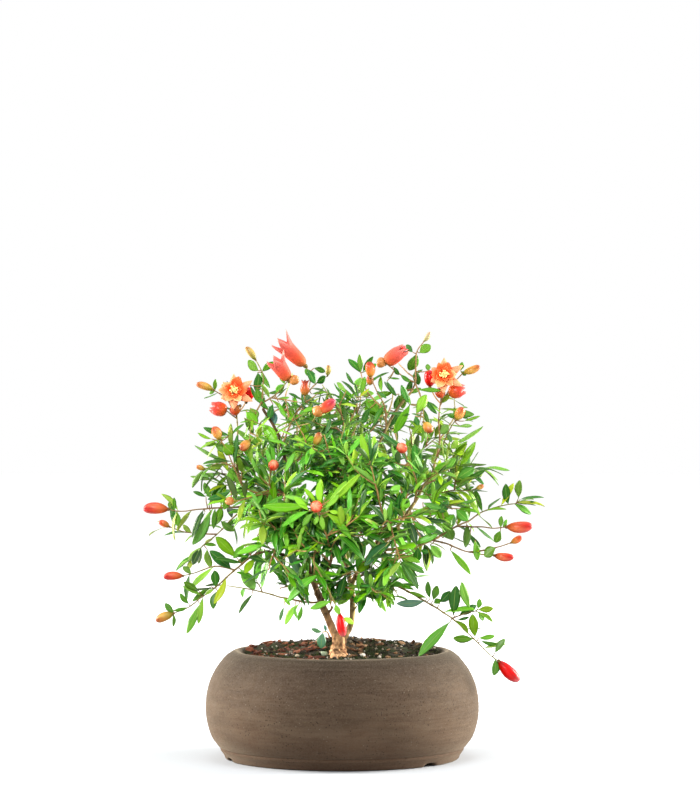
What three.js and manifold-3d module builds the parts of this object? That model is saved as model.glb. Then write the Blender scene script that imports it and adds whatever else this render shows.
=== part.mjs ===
// Pomegranate bonsai in a round stoneware pot. Millimetres, +Z up.
// The origin is on the ground under the middle of the pot; -Y is the front of the tree.
import * as THREE from "three";
import { mergeVertices } from "three/addons/utils/BufferGeometryUtils.js";
import Module from "manifold-3d";

const wasm = await Module();
wasm.setup();

// ---------------------------------------------------------------- driving dimensions
const POT_RADIUS = 110; // at the belly
const POT_HEIGHT = 87; // to the top of the lip
const BELLY_Z = 41; // the widest level
const WALL = 9;
const LIP_RADIUS = 84.5; // to the middle of the rounded lip
const LIP_ROLL = 4.5; // the lip's own radius
const FOOT_RADIUS = 95; // the foot's outer edge
const FOOT_INNER = 74;
const FOOT_RECESS = 5; // how far the underside stands above the ground inside the foot ring
const FOOT_ROUND = 3; // the foot's rounded edges
const GROOVE_Z = 10; // the shallow groove between the foot and the belly
const GROOVE_RADIUS = 99.3;
const FLOOR_Z = 15; // top of the pot's floor
const DRAIN_RADIUS = 9;
const NOTCH = { count: 3, first: 48, width: 12, height: 3.4 }; // first: degrees to the right of the front
const SCREEN = { size: 40, thickness: 1.4, cells: 4, bar: 2.5 };
const SOIL_RADIUS = 79; // where the soil meets the wall under the lip
const SOIL_EDGE_Z = 80;
const MOUND = { x: 6, y: 42, height: 15, wide: 52, deep: 34 }; // the soil rises behind the trunk
const GAP = 0.3; // between pieces that touch
const LATHE_SIDES = 32;
const LEAF = { length: 27, end: 20, width: 7.2, thickness: 1, angle: 54, clear: 0.35 };
const TWIG = { thin: 0.62, growth: 0.12, sides: 4, step: 21 }; // growth: of the base's radius, for each step
const LIMB_STEP = 16;
const CROWN = { x: 161, y: 111, top: 346 }; // the leaves stay within this half width, half depth and height

// ---------------------------------------------------------------- the wood, one grown piece
// Each limb tapers between two radii along its points.
const LIMBS = {
  trunk: {
    from: 9.4, to: 5.6, sides: 8, step: 6,
    at: [[-3, 0, 68], [-3, 0, 80], [-2.5, 0, 90], [-2, 0, 97]],
  },
  root_left: { from: 4.2, to: 1.6, sides: 6, at: [[-5, 0, 84], [-11, -3, 80], [-17, -5, 75]] },
  root_right: { from: 4.2, to: 1.4, sides: 6, at: [[0, -1, 84], [8, -5, 80.5], [16, -8, 76]] },
  root_back: { from: 4.2, to: 1.6, sides: 6, at: [[-2, 2, 86], [0, 12, 85], [3, 21, 80]] },
  left_stem: {
    from: 4.4, to: 1.3, sides: 6,
    at: [[-2, 0, 91], [-11.5, 1, 113], [-17, 2, 126], [-24, 4, 145], [-31, 6, 165], [-38, 6, 190],
      [-43, 5, 215], [-46, 4, 240], [-51, 3, 260], [-64, 0, 282]],
  },
  right_stem: {
    from: 3.2, to: 1.2, sides: 6,
    at: [[-1, 0, 92], [7, 2, 108], [8.5, 3, 123], [8, 3, 140], [16, 2, 154], [24, 1, 166], [35.5, 0, 176],
      [44, -1, 186], [54, -2, 200], [60, -3, 209], [65, -3, 219], [72, -4, 229], [75, -4, 240]],
  },
  leader: {
    from: 2.2, to: 1.2, sides: 5,
    at: [[8, 3, 131], [5, 10, 150], [0, 16, 172], [4, 18, 195], [9, 16, 216], [6, 14, 250]],
  },
  upper_right_limb: {
    from: 1.6, to: 1.1, sides: 5,
    at: [[9, 16, 214], [22, 10, 240], [32, 6, 258], [42, 4, 278], [57, 2, 297]],
  },
  left_lateral: { from: 1.6, to: 1.1, sides: 5, at: [[-28, 5, 156], [-45, -8, 164], [-60, -14, 168]] },
  right_lateral: {
    from: 1.6, to: 1.0, sides: 5,
    at: [[22, 1, 163], [33, -4, 168], [49, -8, 169.5], [63, -10, 172.7], [78, -11, 179]],
  },
  back_left: { from: 1.7, to: 1.1, sides: 5, at: [[-30, 6, 162], [-38, 30, 180], [-48, 52, 196]] },
  back_right: { from: 1.7, to: 1.1, sides: 5, at: [[23, 1, 165], [34, 28, 184], [46, 52, 202]] },
  front_left: { from: 1.6, to: 1.1, sides: 5, at: [[-16, 2, 124], [-14, -22, 144], [-8, -44, 164]] },
  front_right: { from: 1.6, to: 1.1, sides: 5, at: [[15, 2, 152], [26, -24, 170], [32, -46, 188]] },
};

// ---------------------------------------------------------------- leafy shoots, one node each
// The first twig of a shoot starts inside its limb; the others start inside a twig of the same shoot.
// leafy is where leaves begin, as a share of the twig.
const SHOOTS = {
  shoot_low_left: [
    {
      leafy: 0.1,
      at: [[-17, 2, 126], [-26, -6, 126], [-49, -14, 131], [-69, -18, 136.5], [-92, -20, 140.5]],
    },
  ],
  shoot_left_lower: [
    {
      leafy: 0.05,
      at: [[-60, -14, 168], [-71, -22, 165], [-85, -28, 154], [-100, -30, 141], [-112, -30, 132],
        [-122.5, -30, 124], [-134.6, -30, 119]],
    },
    { leafy: 0.35, at: [[-85, -28, 154], [-100, -20, 156], [-120, -12, 149.8], [-128, -8, 147.6]] },
  ],
  shoot_left_middle: [
    {
      leafy: 0.1,
      at: [[-40, 5, 200], [-60, 10, 205], [-81, 18, 199], [-92, 24, 189], [-102, 28, 179],
        [-114.5, 32, 168.6], [-119, 33, 161.5]],
    },
    { leafy: 0.4, at: [[-102, 28, 179], [-118, 34, 179.3], [-129, 38, 180.6], [-141, 40, 184.5]] },
    {
      leafy: 0.2,
      at: [[-70, 13, 203], [-91, -4, 202.5], [-107.5, -12, 202], [-131.4, -13, 200],
        [-139.4, -13, 201.5]],
    },
  ],
  shoot_left_upper: [
    {
      leafy: 0.1,
      at: [[-43, 5, 215], [-62, -8, 212.6], [-79, -20, 220.3], [-85, -28, 232.8], [-92, -34, 250],
        [-97, -37, 258.3]],
    },
    { leafy: 0.3, at: [[-86, -29, 236], [-98, -22, 239], [-110, -16, 233.5]] },
    { leafy: 0.2, at: [[-80, -21, 222], [-85, -12, 240], [-84, -2, 257], [-85, 6, 275], [-87, 12, 292]] },
    { leafy: 0.4, at: [[-85, 6, 276], [-94, 14, 290], [-104, 10, 297]] },
    { leafy: 1, at: [[-85, 6, 273], [-88, 7, 276], [-93, 6, 280]] },
  ],
  shoot_left_top: [
    {
      leafy: 0.3,
      at: [[-63, 0, 280.5], [-64.5, 1, 288], [-64, 8, 299.7], [-64.5, 14, 310.5], [-70, 18, 321]],
    },
    { leafy: 0.2, at: [[-64.5, 1, 288], [-70, -12, 276.5], [-73, -20, 266.8], [-74, -24, 257]] },
    { leafy: 0.2, at: [[-64.5, 1, 287], [-52, -8, 294.5], [-43, -14, 305.5]] },
  ],
  shoot_top_left: [
    {
      leafy: 0.1,
      at: [[-48, 4, 252], [-42, -4, 268.3], [-37.4, -6, 277.5], [-30.6, -8, 287.5], [-30, -9, 292.5]],
    },
    { leafy: 0.3, at: [[-43, -3, 264], [-33, -18, 268.8], [-24, -28, 272.3], [-19.3, -34, 279.6]] },
    { leafy: 0.3, at: [[-37.4, -6, 277.5], [-28, 10, 294], [-26, 14, 309.5], [-30.5, 14, 317]] },
    { leafy: 0.3, at: [[-28, 10, 294], [-20, 22, 303], [-12, 28, 308]] },
    { leafy: 0.3, at: [[-42, -4, 268], [-44, 16, 280], [-46, 34, 292], [-42, 46, 304]] },
  ],
  shoot_centre_left: [
    { leafy: 0.1, at: [[-41, 5, 207], [-54, -12, 214], [-58, -24, 222.5], [-56, -32, 235]] },
    { leafy: 0.2, at: [[-48, -4, 210.5], [-36, -20, 226.5], [-26, -28, 241], [-22, -32, 253]] },
    { leafy: 0.2, at: [[-54, -12, 214], [-68, -34, 213.6], [-80, -48, 210.3], [-87, -56, 209.6]] },
  ],
  shoot_front_centre: [
    { leafy: 0.1, at: [[-8, -44, 164], [-12, -58, 182], [-18, -68, 198], [-20, -75, 206]] },
    { leafy: 0.2, at: [[-12, -58, 182], [2, -70, 190], [14, -82, 200]] },
    { leafy: 0.2, at: [[-10, -50, 172], [2, -48, 192], [6, -46, 210]] },
  ],
  shoot_hanging_front: [
    {
      leafy: 0.1,
      at: [[-10, -40, 160], [-20, -50, 170], [-22, -56, 162], [-14, -57, 146], [-8, -56, 134.5],
        [-2, -55, 121]],
    },
    { leafy: 0.2, at: [[-20, -50, 170], [-34, -66, 172], [-46, -80, 166]] },
  ],
  shoot_low_right: [
    {
      leafy: 0.1,
      at: [[9, 3, 143], [20, -4, 149], [33, -8, 145.5], [44, -12, 140], [55, -14, 134.5], [69, -16, 126.5],
        [87.6, -18, 114.5], [104.5, -20, 99], [120, -21, 84], [125.7, -21, 80]],
    },
    { leafy: 0.3, at: [[88, -18, 114], [98, -22, 118], [107, -24, 120.5]] },
  ],
  shoot_right_lower: [
    {
      leafy: 0.05,
      at: [[77, -11, 178.6], [92, -2, 187], [103, 6, 191.6], [113.6, 12, 198], [133, 16, 203.7],
        [141, 18, 204.6]],
    },
    { leafy: 0.4, at: [[92, -2, 187], [105, -14, 187.5], [122.5, -24, 187], [131.4, -28, 188]] },
  ],
  shoot_right_drooping: [
    {
      leafy: 0.15,
      at: [[72, -11, 176.2], [85, -24, 174], [101, -34, 168.4], [113, -38, 166.5], [121, -40, 166]],
    },
    { leafy: 0.3, at: [[101, -34, 168.4], [113, -44, 170.2], [125.7, -50, 173.7], [134, -52, 176.7]] },
  ],
  shoot_right_upper: [
    { leafy: 0.1, at: [[75, -4, 240], [80.6, -14, 253], [87, -22, 267.4], [91, -26, 273.6]] },
    { leafy: 0.2, at: [[76, -5, 243], [79, 6, 257], [78, 10, 272], [80, 13, 290], [81.5, 14, 305]] },
    { leafy: 0.4, at: [[79, 12, 284], [90, 20, 302], [98, 20, 310.5]] },
    { leafy: 1, at: [[79, 11, 286], [82, 9, 291], [86, 8, 294.5]] },
    { leafy: 0.3, at: [[79, 6, 257], [86, 26, 266], [92, 42, 276], [92, 54, 288]] },
  ],
  shoot_right_top: [
    { leafy: 0.2, at: [[56.3, 2, 296], [59, 3, 303], [59.5, 6, 313.5], [60.5, 8, 328], [66, 8, 336]] },
    { leafy: 0.3, at: [[59, 3, 303], [63, -10, 292.3], [65, -18, 281.6], [65.3, -22, 271.5]] },
    { leafy: 0.2, at: [[59, 3, 302], [47, -8, 309.4], [35, -14, 319]] },
    { leafy: 0.3, at: [[59, 4, 306], [52, 22, 312], [46, 38, 318]] },
  ],
  shoot_top_right: [
    { leafy: 0.1, at: [[36, 5, 266], [34, -4, 284.5], [28, -12, 296], [23, -18, 307.3]] },
    { leafy: 0.3, at: [[34, -2, 281], [20, 14, 296], [14, 22, 315]] },
    { leafy: 0.3, at: [[35, 1, 275], [40, 24, 286], [42, 44, 298]] },
  ],
  shoot_centre_right: [
    { leafy: 0.1, at: [[58, -3, 206], [60, -18, 222.3], [55, -28, 236.6], [49, -34, 249]] },
    {
      leafy: 0.2,
      at: [[59, -8, 211], [78, -18, 214.7], [90, -22, 217.3], [101, -24, 217], [107, -25, 218.5]],
    },
    { leafy: 0.2, at: [[90, -22, 217.3], [91, -28, 233.2], [89, -34, 245.8]] },
    { leafy: 0.3, at: [[60, -18, 222.3], [70, -40, 228], [76, -58, 232]] },
  ],
  shoot_centre_top: [
    { leafy: 0.1, at: [[6, 14, 249], [2, -2, 266], [-2, -16, 286]] },
    { leafy: 0.2, at: [[5, 11, 253], [12, 26, 270], [12, 40, 290]] },
    { leafy: 0.2, at: [[4, 5, 258], [-10, 24, 272], [-18, 40, 284]] },
  ],
  shoot_inner_front: [
    { leafy: 0.15, at: [[5, 17, 203], [6, -8, 218], [8, -30, 232], [6, -50, 244]] },
    { leafy: 0.2, at: [[6, -8, 218], [22, -24, 226], [36, -38, 234]] },
    { leafy: 0.2, at: [[7, -20, 226], [-8, -36, 242], [-14, -46, 262]] },
  ],
  shoot_inner_back: [
    { leafy: 0.15, at: [[8, 15, 232], [8, 34, 246], [10, 52, 262], [8, 62, 278]] },
    { leafy: 0.2, at: [[8, 34, 246], [-10, 50, 254], [-24, 62, 258]] },
    { leafy: 0.2, at: [[8, 40, 252], [24, 46, 264], [34, 52, 278]] },
  ],
  shoot_back_left: [
    { leafy: 0.1, at: [[-48, 52, 196], [-62, 70, 208], [-78, 84, 214], [-90, 94, 212]] },
    { leafy: 0.2, at: [[-52, 57, 200], [-52, 66, 222], [-52, 72, 246], [-46, 74, 268]] },
    { leafy: 0.2, at: [[-55, 61, 203], [-60, 74, 180], [-68, 90, 164]] },
    { leafy: 0.3, at: [[-52, 66, 222], [-66, 62, 240], [-78, 56, 254]] },
  ],
  shoot_back_right: [
    { leafy: 0.1, at: [[46, 52, 202], [60, 70, 214], [76, 84, 220], [88, 92, 218]] },
    { leafy: 0.2, at: [[50, 57, 206], [46, 66, 228], [46, 76, 250], [40, 82, 272]] },
    { leafy: 0.2, at: [[53, 61, 209], [60, 76, 184], [68, 90, 168]] },
    { leafy: 0.3, at: [[46, 66, 228], [62, 60, 244], [76, 54, 256]] },
  ],
  shoot_back_centre: [
    { leafy: 0.1, at: [[0, 16, 173], [0, 36, 190], [-2, 58, 204], [0, 80, 212], [2, 97, 214]] },
    { leafy: 0.2, at: [[0, 40, 193], [-4, 56, 222], [-6, 70, 242]] },
    { leafy: 0.3, at: [[-2, 58, 204], [4, 74, 186], [6, 90, 166]] },
  ],
  shoot_front_right: [
    { leafy: 0.1, at: [[32, -46, 188], [44, -62, 196], [56, -76, 198]] },
    { leafy: 0.2, at: [[36, -51, 191], [30, -60, 208], [26, -68, 226], [22, -72, 242]] },
    { leafy: 0.2, at: [[38, -54, 192.5], [42, -66, 178], [46, -80, 164]] },
    { leafy: 0.3, at: [[46, -64, 196], [64, -66, 204], [80, -66, 207]] },
  ],
  shoot_front_left: [
    { leafy: 0.2, at: [[-31, 6, 166], [-42, -20, 178], [-54, -44, 188], [-62, -62, 192]] },
    { leafy: 0.2, at: [[-50, -36, 185], [-46, -50, 204], [-44, -60, 222]] },
    { leafy: 0.2, at: [[-46, -28, 181], [-54, -48, 168], [-58, -66, 156]] },
  ],
  shoot_low_centre: [
    { leafy: 0.2, at: [[8.5, 3, 126], [18, -14, 136], [28, -34, 138], [34, -52, 134]] },
    { leafy: 0.3, at: [[18, -14, 136], [30, -20, 154], [40, -30, 158]] },
  ],
};

// ---------------------------------------------------------------- buds and blossoms
// base is where the stalk ends; towards is the direction of growth; length and width in millimetres.
const BUDS = {
  bud_left_lowest: { base: [-134.6, -30, 119], towards: [-1, 0, -0.42], length: 19, width: 7 },
  bud_left_lower_red: { base: [-128, -8, 147.6], towards: [-1, 0, -0.05], length: 17, width: 7 },
  bud_left_middle_red: { base: [-139.4, -13, 201.5], towards: [-1, 0, 0.02], length: 21, width: 9.5 },
  bud_left_upper: { base: [-97, -37, 258.3], towards: [-0.5, -0.3, 0.9], length: 13, width: 8 },
  bud_left_flower_red: { base: [-93, 6, 280], towards: [-1, 0, 0.25], length: 17, width: 11 },
  bud_left_top_yellow: { base: [-104, 10, 297], towards: [-1, 0, 0.35], length: 16, width: 6.5 },
  bud_left_tip_green: { base: [-70, 18, 321], towards: [-0.6, 0, 0.8], length: 15, width: 6 },
  bud_left_inner_orange: { base: [-74, -24, 257], towards: [-0.6, -0.4, -0.7], length: 12, width: 7.5 },
  bud_centre_left_red: { base: [-56, -32, 235], towards: [0.2, -0.9, 0.5], length: 12, width: 8.5 },
  bud_centre_yellow: { base: [-22, -32, 253], towards: [0.35, -0.2, 0.9], length: 12, width: 7 },
  bud_top_left_red: { base: [-19.3, -34, 279.6], towards: [0.75, -0.2, 0.75], length: 19, width: 10 },
  bud_front_centre: { base: [-20, -75, 206], towards: [-0.05, -1, 0.15], length: 12, width: 9.5 },
  bud_hanging_front: { base: [-2, -55, 121], towards: [0.18, -0.1, -1], length: 19, width: 7.5 },
  bud_right_lowest_red: { base: [125.7, -21, 80], towards: [0.72, 0, -0.7], length: 24, width: 9.5 },
  bud_right_lower_red: { base: [131.4, -28, 188], towards: [1, 0, 0.04], length: 22, width: 9.5 },
  bud_right_drooping_red: { base: [121, -40, 166], towards: [1, 0, -0.1], length: 17, width: 7 },
  bud_centre_right_red: { base: [49, -34, 249], towards: [-0.3, -0.9, 0.4], length: 12, width: 8.5 },
  bud_right_inner_orange: { base: [65.3, -22, 271.5], towards: [0.6, -0.4, -0.7], length: 12, width: 7.5 },
  bud_right_upper: { base: [91, -26, 273.6], towards: [0.45, -0.3, 0.85], length: 13, width: 8 },
  bud_right_flower_red: { base: [86, 8, 294.5], towards: [1, 0, 0.25], length: 17, width: 11 },
  bud_right_top_yellow: { base: [98, 20, 310.5], towards: [1, 0, 0.4], length: 16, width: 6.5 },
  bud_top_right_orange: { base: [23, -18, 307.3], towards: [-0.1, -0.1, 1], length: 14, width: 8 },
};
const TRUMPETS = {
  trumpet_top_left: { base: [-30.5, 14, 317], towards: [-0.72, -0.1, 0.69], length: 33, width: 13 },
  trumpet_left: { base: [-43, -14, 305.5], towards: [-0.55, -0.2, 0.83], length: 24, width: 13 },
  trumpet_right: { base: [35, -14, 319], towards: [0.7, -0.2, 0.69], length: 24, width: 13 },
};
const OPEN_FLOWERS = {
  flower_left: { base: [-87, 12, 292], towards: [-0.02, -0.95, 0.3], width: 24 },
  flower_right: { base: [81.5, 14, 305], towards: [0.04, -0.95, 0.3], width: 24 },
};

// ---------------------------------------------------------------- solids, joined and cut
function solidOf(geometry) {
  const bare = geometry.index ? geometry.toNonIndexed() : geometry.clone();
  bare.deleteAttribute("normal");
  bare.deleteAttribute("uv");
  const merged = mergeVertices(bare, 1e-4);
  return new wasm.Manifold(
    new wasm.Mesh({
      numProp: 3,
      vertProperties: merged.attributes.position.array,
      triVerts: new Uint32Array(merged.index.array),
    }),
  );
}

function geometryOf(solid) {
  const { vertProperties, triVerts } = solid.getMesh();
  const geometry = new THREE.BufferGeometry();
  geometry.setAttribute("position", new THREE.BufferAttribute(vertProperties, 3));
  geometry.setIndex(new THREE.BufferAttribute(triVerts, 1));
  geometry.computeVertexNormals();
  return geometry;
}

const union = (solids) => solids.reduce((whole, solid) => whole.add(solid));

// What a cut leaves, without the crumbs.
function largestBody(solid) {
  const bodies = solid.decompose();
  return bodies.reduce((most, body) => (body.volume() > most.volume() ? body : most));
}

function boxesTouch(a, b) {
  const first = a.boundingBox();
  const second = b.boundingBox();
  return [0, 1, 2].every((k) => first.min[k] <= second.max[k] && second.min[k] <= first.max[k]);
}

const touches = (a, b) => boxesTouch(a, b) && !a.intersect(b).isEmpty();

// ---------------------------------------------------------------- shapes
const vector = (point) => new THREE.Vector3(...point);
const routeOf = (points) => new THREE.CatmullRomCurve3(points.map(vector));

// A route cut into equal steps, each station with the directions of a frame that follows the route.
function stationsOf(route, step) {
  const steps = Math.max(2, Math.round(route.getLength() / step));
  const { tangents, normals, binormals } = route.computeFrenetFrames(steps);
  return tangents.map((along, k) => (
    { point: route.getPointAt(k / steps), along, across: binormals[k], up: normals[k] }
  ));
}

// A closed, tapering tube through the stations; grow makes it fatter and longer by that much.
function tube(stations, from, to, sides, grow = 0) {
  const last = stations.length - 1;
  const geometry = new THREE.CylinderGeometry(1, 1, 1, sides, last);
  const place = geometry.attributes.position;
  for (let i = 0; i < place.count; i++) {
    const share = place.getY(i) + 0.5;
    const k = Math.round(share * last);
    const { point, along, across, up } = stations[k];
    const radius = THREE.MathUtils.lerp(from, to, share) + grow;
    const past = k === 0 ? -grow : k === last ? grow : 0;
    const corner = point.clone()
      .addScaledVector(along, past)
      .addScaledVector(across, place.getX(i) * radius)
      .addScaledVector(up, place.getZ(i) * radius);
    place.setXYZ(i, corner.x, corner.y, corner.z);
  }
  return solidOf(geometry);
}

// A profile of [radius, height] pairs, turned about the Z axis.
function turned(profile, sides) {
  const points = profile.map(([radius, height]) => new THREE.Vector2(radius, height));
  return new THREE.LatheGeometry(points, sides).rotateX(Math.PI / 2);
}

// Stands a shape that grows along +Z on a point, growing towards a direction.
function stand(geometry, base, towards) {
  const turn = new THREE.Quaternion();
  turn.setFromUnitVectors(new THREE.Vector3(0, 0, 1), vector(towards).normalize());
  return geometry.applyQuaternion(turn).translate(...base);
}

const noise = (n, seed) => {
  const wave = Math.sin(n * 12.9898 + seed * 78.233) * 43758.5453;
  return wave - Math.floor(wave);
};

// ---------------------------------------------------------------- pot, screen and soil
// The wall's inner face from the floor up to the neck, or what lies inside it by a clearance.
function innerWall(clearance) {
  const belly = POT_RADIUS - WALL - clearance;
  const [low, high] = [24 + clearance, 68 - clearance];
  return [[belly - 18, FLOOR_Z + clearance], [belly - 5, low], [belly, BELLY_Z], [belly - 5, high]];
}

function bellyCurve() {
  return new THREE.SplineCurve([
    new THREE.Vector2(GROOVE_RADIUS, GROOVE_Z),
    new THREE.Vector2(POT_RADIUS - 5, 17),
    new THREE.Vector2(POT_RADIUS - 1.5, 28),
    new THREE.Vector2(POT_RADIUS, BELLY_Z),
    new THREE.Vector2(POT_RADIUS - 1.8, 57),
    new THREE.Vector2(POT_RADIUS - 7.2, 70.5),
    new THREE.Vector2(POT_RADIUS - 16, 82),
    new THREE.Vector2(LIP_RADIUS + 1, POT_HEIGHT - 0.1),
  ]);
}

function pot() {
  const belly = bellyCurve().getPoints(9).map((p) => [p.x, p.y]);
  const inside = LIP_RADIUS - LIP_ROLL;
  const profile = [
    [DRAIN_RADIUS, FOOT_RECESS],
    [FOOT_INNER, FOOT_RECESS],
    [FOOT_INNER + 2, 0],
    [FOOT_RADIUS - FOOT_ROUND, 0],
    [FOOT_RADIUS, FOOT_ROUND],
    [FOOT_RADIUS + 2.5, 7],
    ...belly,
    [LIP_RADIUS - 2.6, POT_HEIGHT - 0.9],
    [inside, POT_HEIGHT - LIP_ROLL],
    [inside, SOIL_EDGE_Z - 1],
    ...innerWall(0).reverse(),
    [DRAIN_RADIUS, FLOOR_Z],
    [DRAIN_RADIUS, FOOT_RECESS],
  ];
  const notches = Array.from({ length: NOTCH.count }, (_, i) => {
    const cutter = new THREE.BoxGeometry(NOTCH.width, FOOT_RADIUS, 2 * NOTCH.height);
    cutter.translate(0, -FOOT_RADIUS, 0);
    cutter.rotateZ(THREE.MathUtils.degToRad(NOTCH.first + (i * 360) / NOTCH.count));
    return solidOf(cutter);
  });
  return solidOf(turned(profile, LATHE_SIDES)).subtract(union(notches));
}

function drainScreen() {
  const pitch = (SCREEN.size - SCREEN.bar) / SCREEN.cells;
  const bars = [];
  for (let i = 0; i <= SCREEN.cells; i++) {
    const place = (i - SCREEN.cells / 2) * pitch;
    const z = FLOOR_Z + GAP + SCREEN.thickness / 2;
    bars.push(new THREE.BoxGeometry(SCREEN.size, SCREEN.bar, SCREEN.thickness).translate(0, place, z));
    bars.push(new THREE.BoxGeometry(SCREEN.bar, SCREEN.size, SCREEN.thickness).translate(place, 0, z));
  }
  return union(bars.map(solidOf));
}

function mound(x, y) {
  const reach = Math.min(1, Math.hypot(x, y) / SOIL_RADIUS);
  const hill = Math.exp(-(((x - MOUND.x) / MOUND.wide) ** 2) - ((y - MOUND.y) / MOUND.deep) ** 2);
  return MOUND.height * hill * (1 - reach ** 4);
}

function soil(roots) {
  const geometry = turned([
    [0, FLOOR_Z + GAP],
    ...innerWall(GAP),
    [SOIL_RADIUS, SOIL_EDGE_Z - 1],
    [SOIL_RADIUS - 0.2, SOIL_EDGE_Z],
    [SOIL_RADIUS - 14, SOIL_EDGE_Z + 0.4],
    [SOIL_RADIUS - 32, SOIL_EDGE_Z + 0.2],
    [SOIL_RADIUS - 52, SOIL_EDGE_Z],
    [0, SOIL_EDGE_Z],
  ], LATHE_SIDES);
  const place = geometry.attributes.position;
  for (let i = 0; i < place.count; i++) {
    const [x, y, z] = [place.getX(i), place.getY(i), place.getZ(i)];
    if (z > SOIL_EDGE_Z - 0.5) place.setZ(i, z + mound(x, y));
  }
  const side = SCREEN.size + 2 * GAP;
  const pocket = new THREE.BoxGeometry(side, side, 2 * (SCREEN.thickness + GAP));
  pocket.translate(0, 0, FLOOR_Z + GAP);
  return solidOf(geometry).subtract(solidOf(pocket)).subtract(roots);
}

// ---------------------------------------------------------------- wood and shoots
const limbPaths = Object.fromEntries(
  Object.entries(LIMBS).map(([name, limb]) => [name, stationsOf(routeOf(limb.at), limb.step ?? LIMB_STEP)]),
);

const limbTube = ([name, limb], grow = 0) => tube(limbPaths[name], limb.from, limb.to, limb.sides, grow);

const LERP_SHARES = [0, 0.2, 0.4, 0.6, 0.8, 1];

// The nearest point of the wood that bears a twig, so that each twig starts inside it.
function nearestOn(paths, point) {
  const places = paths.flatMap((stations) => stations.slice(1).flatMap((end, k) => (
    LERP_SHARES.map((share) => stations[k].point.clone().lerp(end.point, share))
  )));
  return places.reduce((best, place) => (place.distanceTo(point) < best.distanceTo(point) ? place : best));
}

function twigPaths(twigs) {
  const paths = [];
  for (const twig of twigs) {
    const [start, ...rest] = twig.at.map(vector);
    const bearers = paths.length ? paths : Object.values(limbPaths);
    const route = new THREE.CatmullRomCurve3([nearestOn(bearers, start), ...rest]);
    paths.push(stationsOf(route, TWIG.step));
  }
  return paths;
}

const twigTube = (stations, grow = 0) =>
  tube(stations, TWIG.thin + TWIG.growth * (stations.length - 1), TWIG.thin, TWIG.sides, grow);

function leaf(base, direction, up, length, grow = 0) {
  const side = new THREE.Vector3().crossVectors(direction, up).normalize();
  const normal = new THREE.Vector3().crossVectors(side, direction).normalize();
  const size = length / LEAF.length;
  const geometry = new THREE.SphereGeometry(1, 3, 2)
    .translate(0, 1, 0)
    .scale(LEAF.width / 2 * size + grow, length / 2 + grow, LEAF.thickness / 2 + grow)
    .applyMatrix4(new THREE.Matrix4().makeBasis(side, direction, normal))
    .translate(base.x, base.y, base.z);
  return solidOf(geometry);
}

// The leaves of one twig stand in pairs, each pair a quarter turn on from the last, and one ends it.
function leafPlaces(stations, leafy, seed) {
  const places = [];
  const last = stations.length - 1;
  for (let k = 1; k < last; k++) {
    const share = k / last;
    if (share < leafy) continue;
    const { point, along } = stations[k];
    const across = new THREE.Vector3().crossVectors(along, new THREE.Vector3(0.02, 0.05, 1)).normalize();
    const above = new THREE.Vector3().crossVectors(across, along).normalize();
    for (const half of [0, 1]) {
      const n = 2 * k + half;
      const turn = (k % 2) * (Math.PI / 2) + half * Math.PI + (noise(n, seed) - 0.5) * 1.1 + 0.35;
      const lean = THREE.MathUtils.degToRad(LEAF.angle + 16 * (noise(n, seed + 5) - 0.5));
      const direction = along.clone().multiplyScalar(Math.cos(lean))
        .addScaledVector(across, Math.sin(lean) * Math.cos(turn))
        .addScaledVector(above, Math.sin(lean) * Math.sin(turn))
        .normalize();
      const up = new THREE.Vector3(0.5 * (noise(n, seed + 9) - 0.5), -0.45, 1);
      const length = LEAF.length * (0.78 + 0.4 * noise(n, seed + 13)) * (1 - 0.25 * share ** 3);
      places.push({ base: point, direction, up, length });
    }
  }
  if (leafy < 1) {
    const { point, along } = stations[last];
    const base = point.clone().addScaledVector(along, -TWIG.thin);
    places.push({ base, direction: along, up: new THREE.Vector3(0.1, -0.6, 1), length: LEAF.end });
  }
  return places;
}

function insideCrown(place) {
  const tip = place.base.clone().addScaledVector(place.direction, place.length);
  return Math.abs(tip.x) < CROWN.x && Math.abs(tip.y) < CROWN.y && tip.z < CROWN.top;
}

// ---------------------------------------------------------------- buds and blossoms, growing along +Z
const BUD_SIDES = 6;
const BUD_PROFILE = [[0, 0], [0.2, 0], [0.3, 0.2], [0.5, 0.52], [0.38, 0.84], [0, 1]];

const bud = ({ length, width }) =>
  turned(BUD_PROFILE.map(([radius, height]) => [radius * width, height * length]), BUD_SIDES);

// Draws every second corner of the rim back, which leaves pointed lobes between them.
function pointed(geometry, rimHeight, rise, sides) {
  const place = geometry.attributes.position;
  for (let i = 0; i < place.count; i++) {
    if (Math.abs(place.getZ(i) - rimHeight) > 0.01) continue;
    const step = Math.round((Math.atan2(place.getY(i), place.getX(i)) / (2 * Math.PI)) * sides);
    if (step % 2) place.setZ(i, place.getZ(i) - rise);
  }
  return geometry;
}

function trumpet({ length, width }) {
  const sides = 12;
  const profile = [
    [0, 0], [0.1, 0], [0.3, 0.1], [0.42, 0.36], [0.42, 0.62], [0.6, 1],
    [0.5, 0.93], [0.3, 0.62], [0, 0.55],
  ];
  const geometry = turned(profile.map(([radius, height]) => [radius * width, height * length]), sides);
  return pointed(geometry, length, 0.2 * length, sides);
}

// An open flower: the calyx is a cup with a floor, the petals stand on its floor and rim, round the stamens.
const FLOWER = { calyxFloor: 11, calyxRim: 14, lobe: 1.6, throat: 4.2, stamens: 5.5, petalCount: 6 };

function calyx() {
  const sides = 12;
  const { calyxFloor, calyxRim, throat } = FLOWER;
  const profile = [
    [0, 0], [1.2, 0], [4.6, 4], [4.8, 8], [5.4, calyxFloor], [9.5, calyxRim],
    [7.8, calyxRim - 1.4], [throat + 0.4, calyxFloor], [0, calyxFloor],
  ];
  return pointed(turned(profile, sides), calyxRim, FLOWER.lobe, sides);
}

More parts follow.
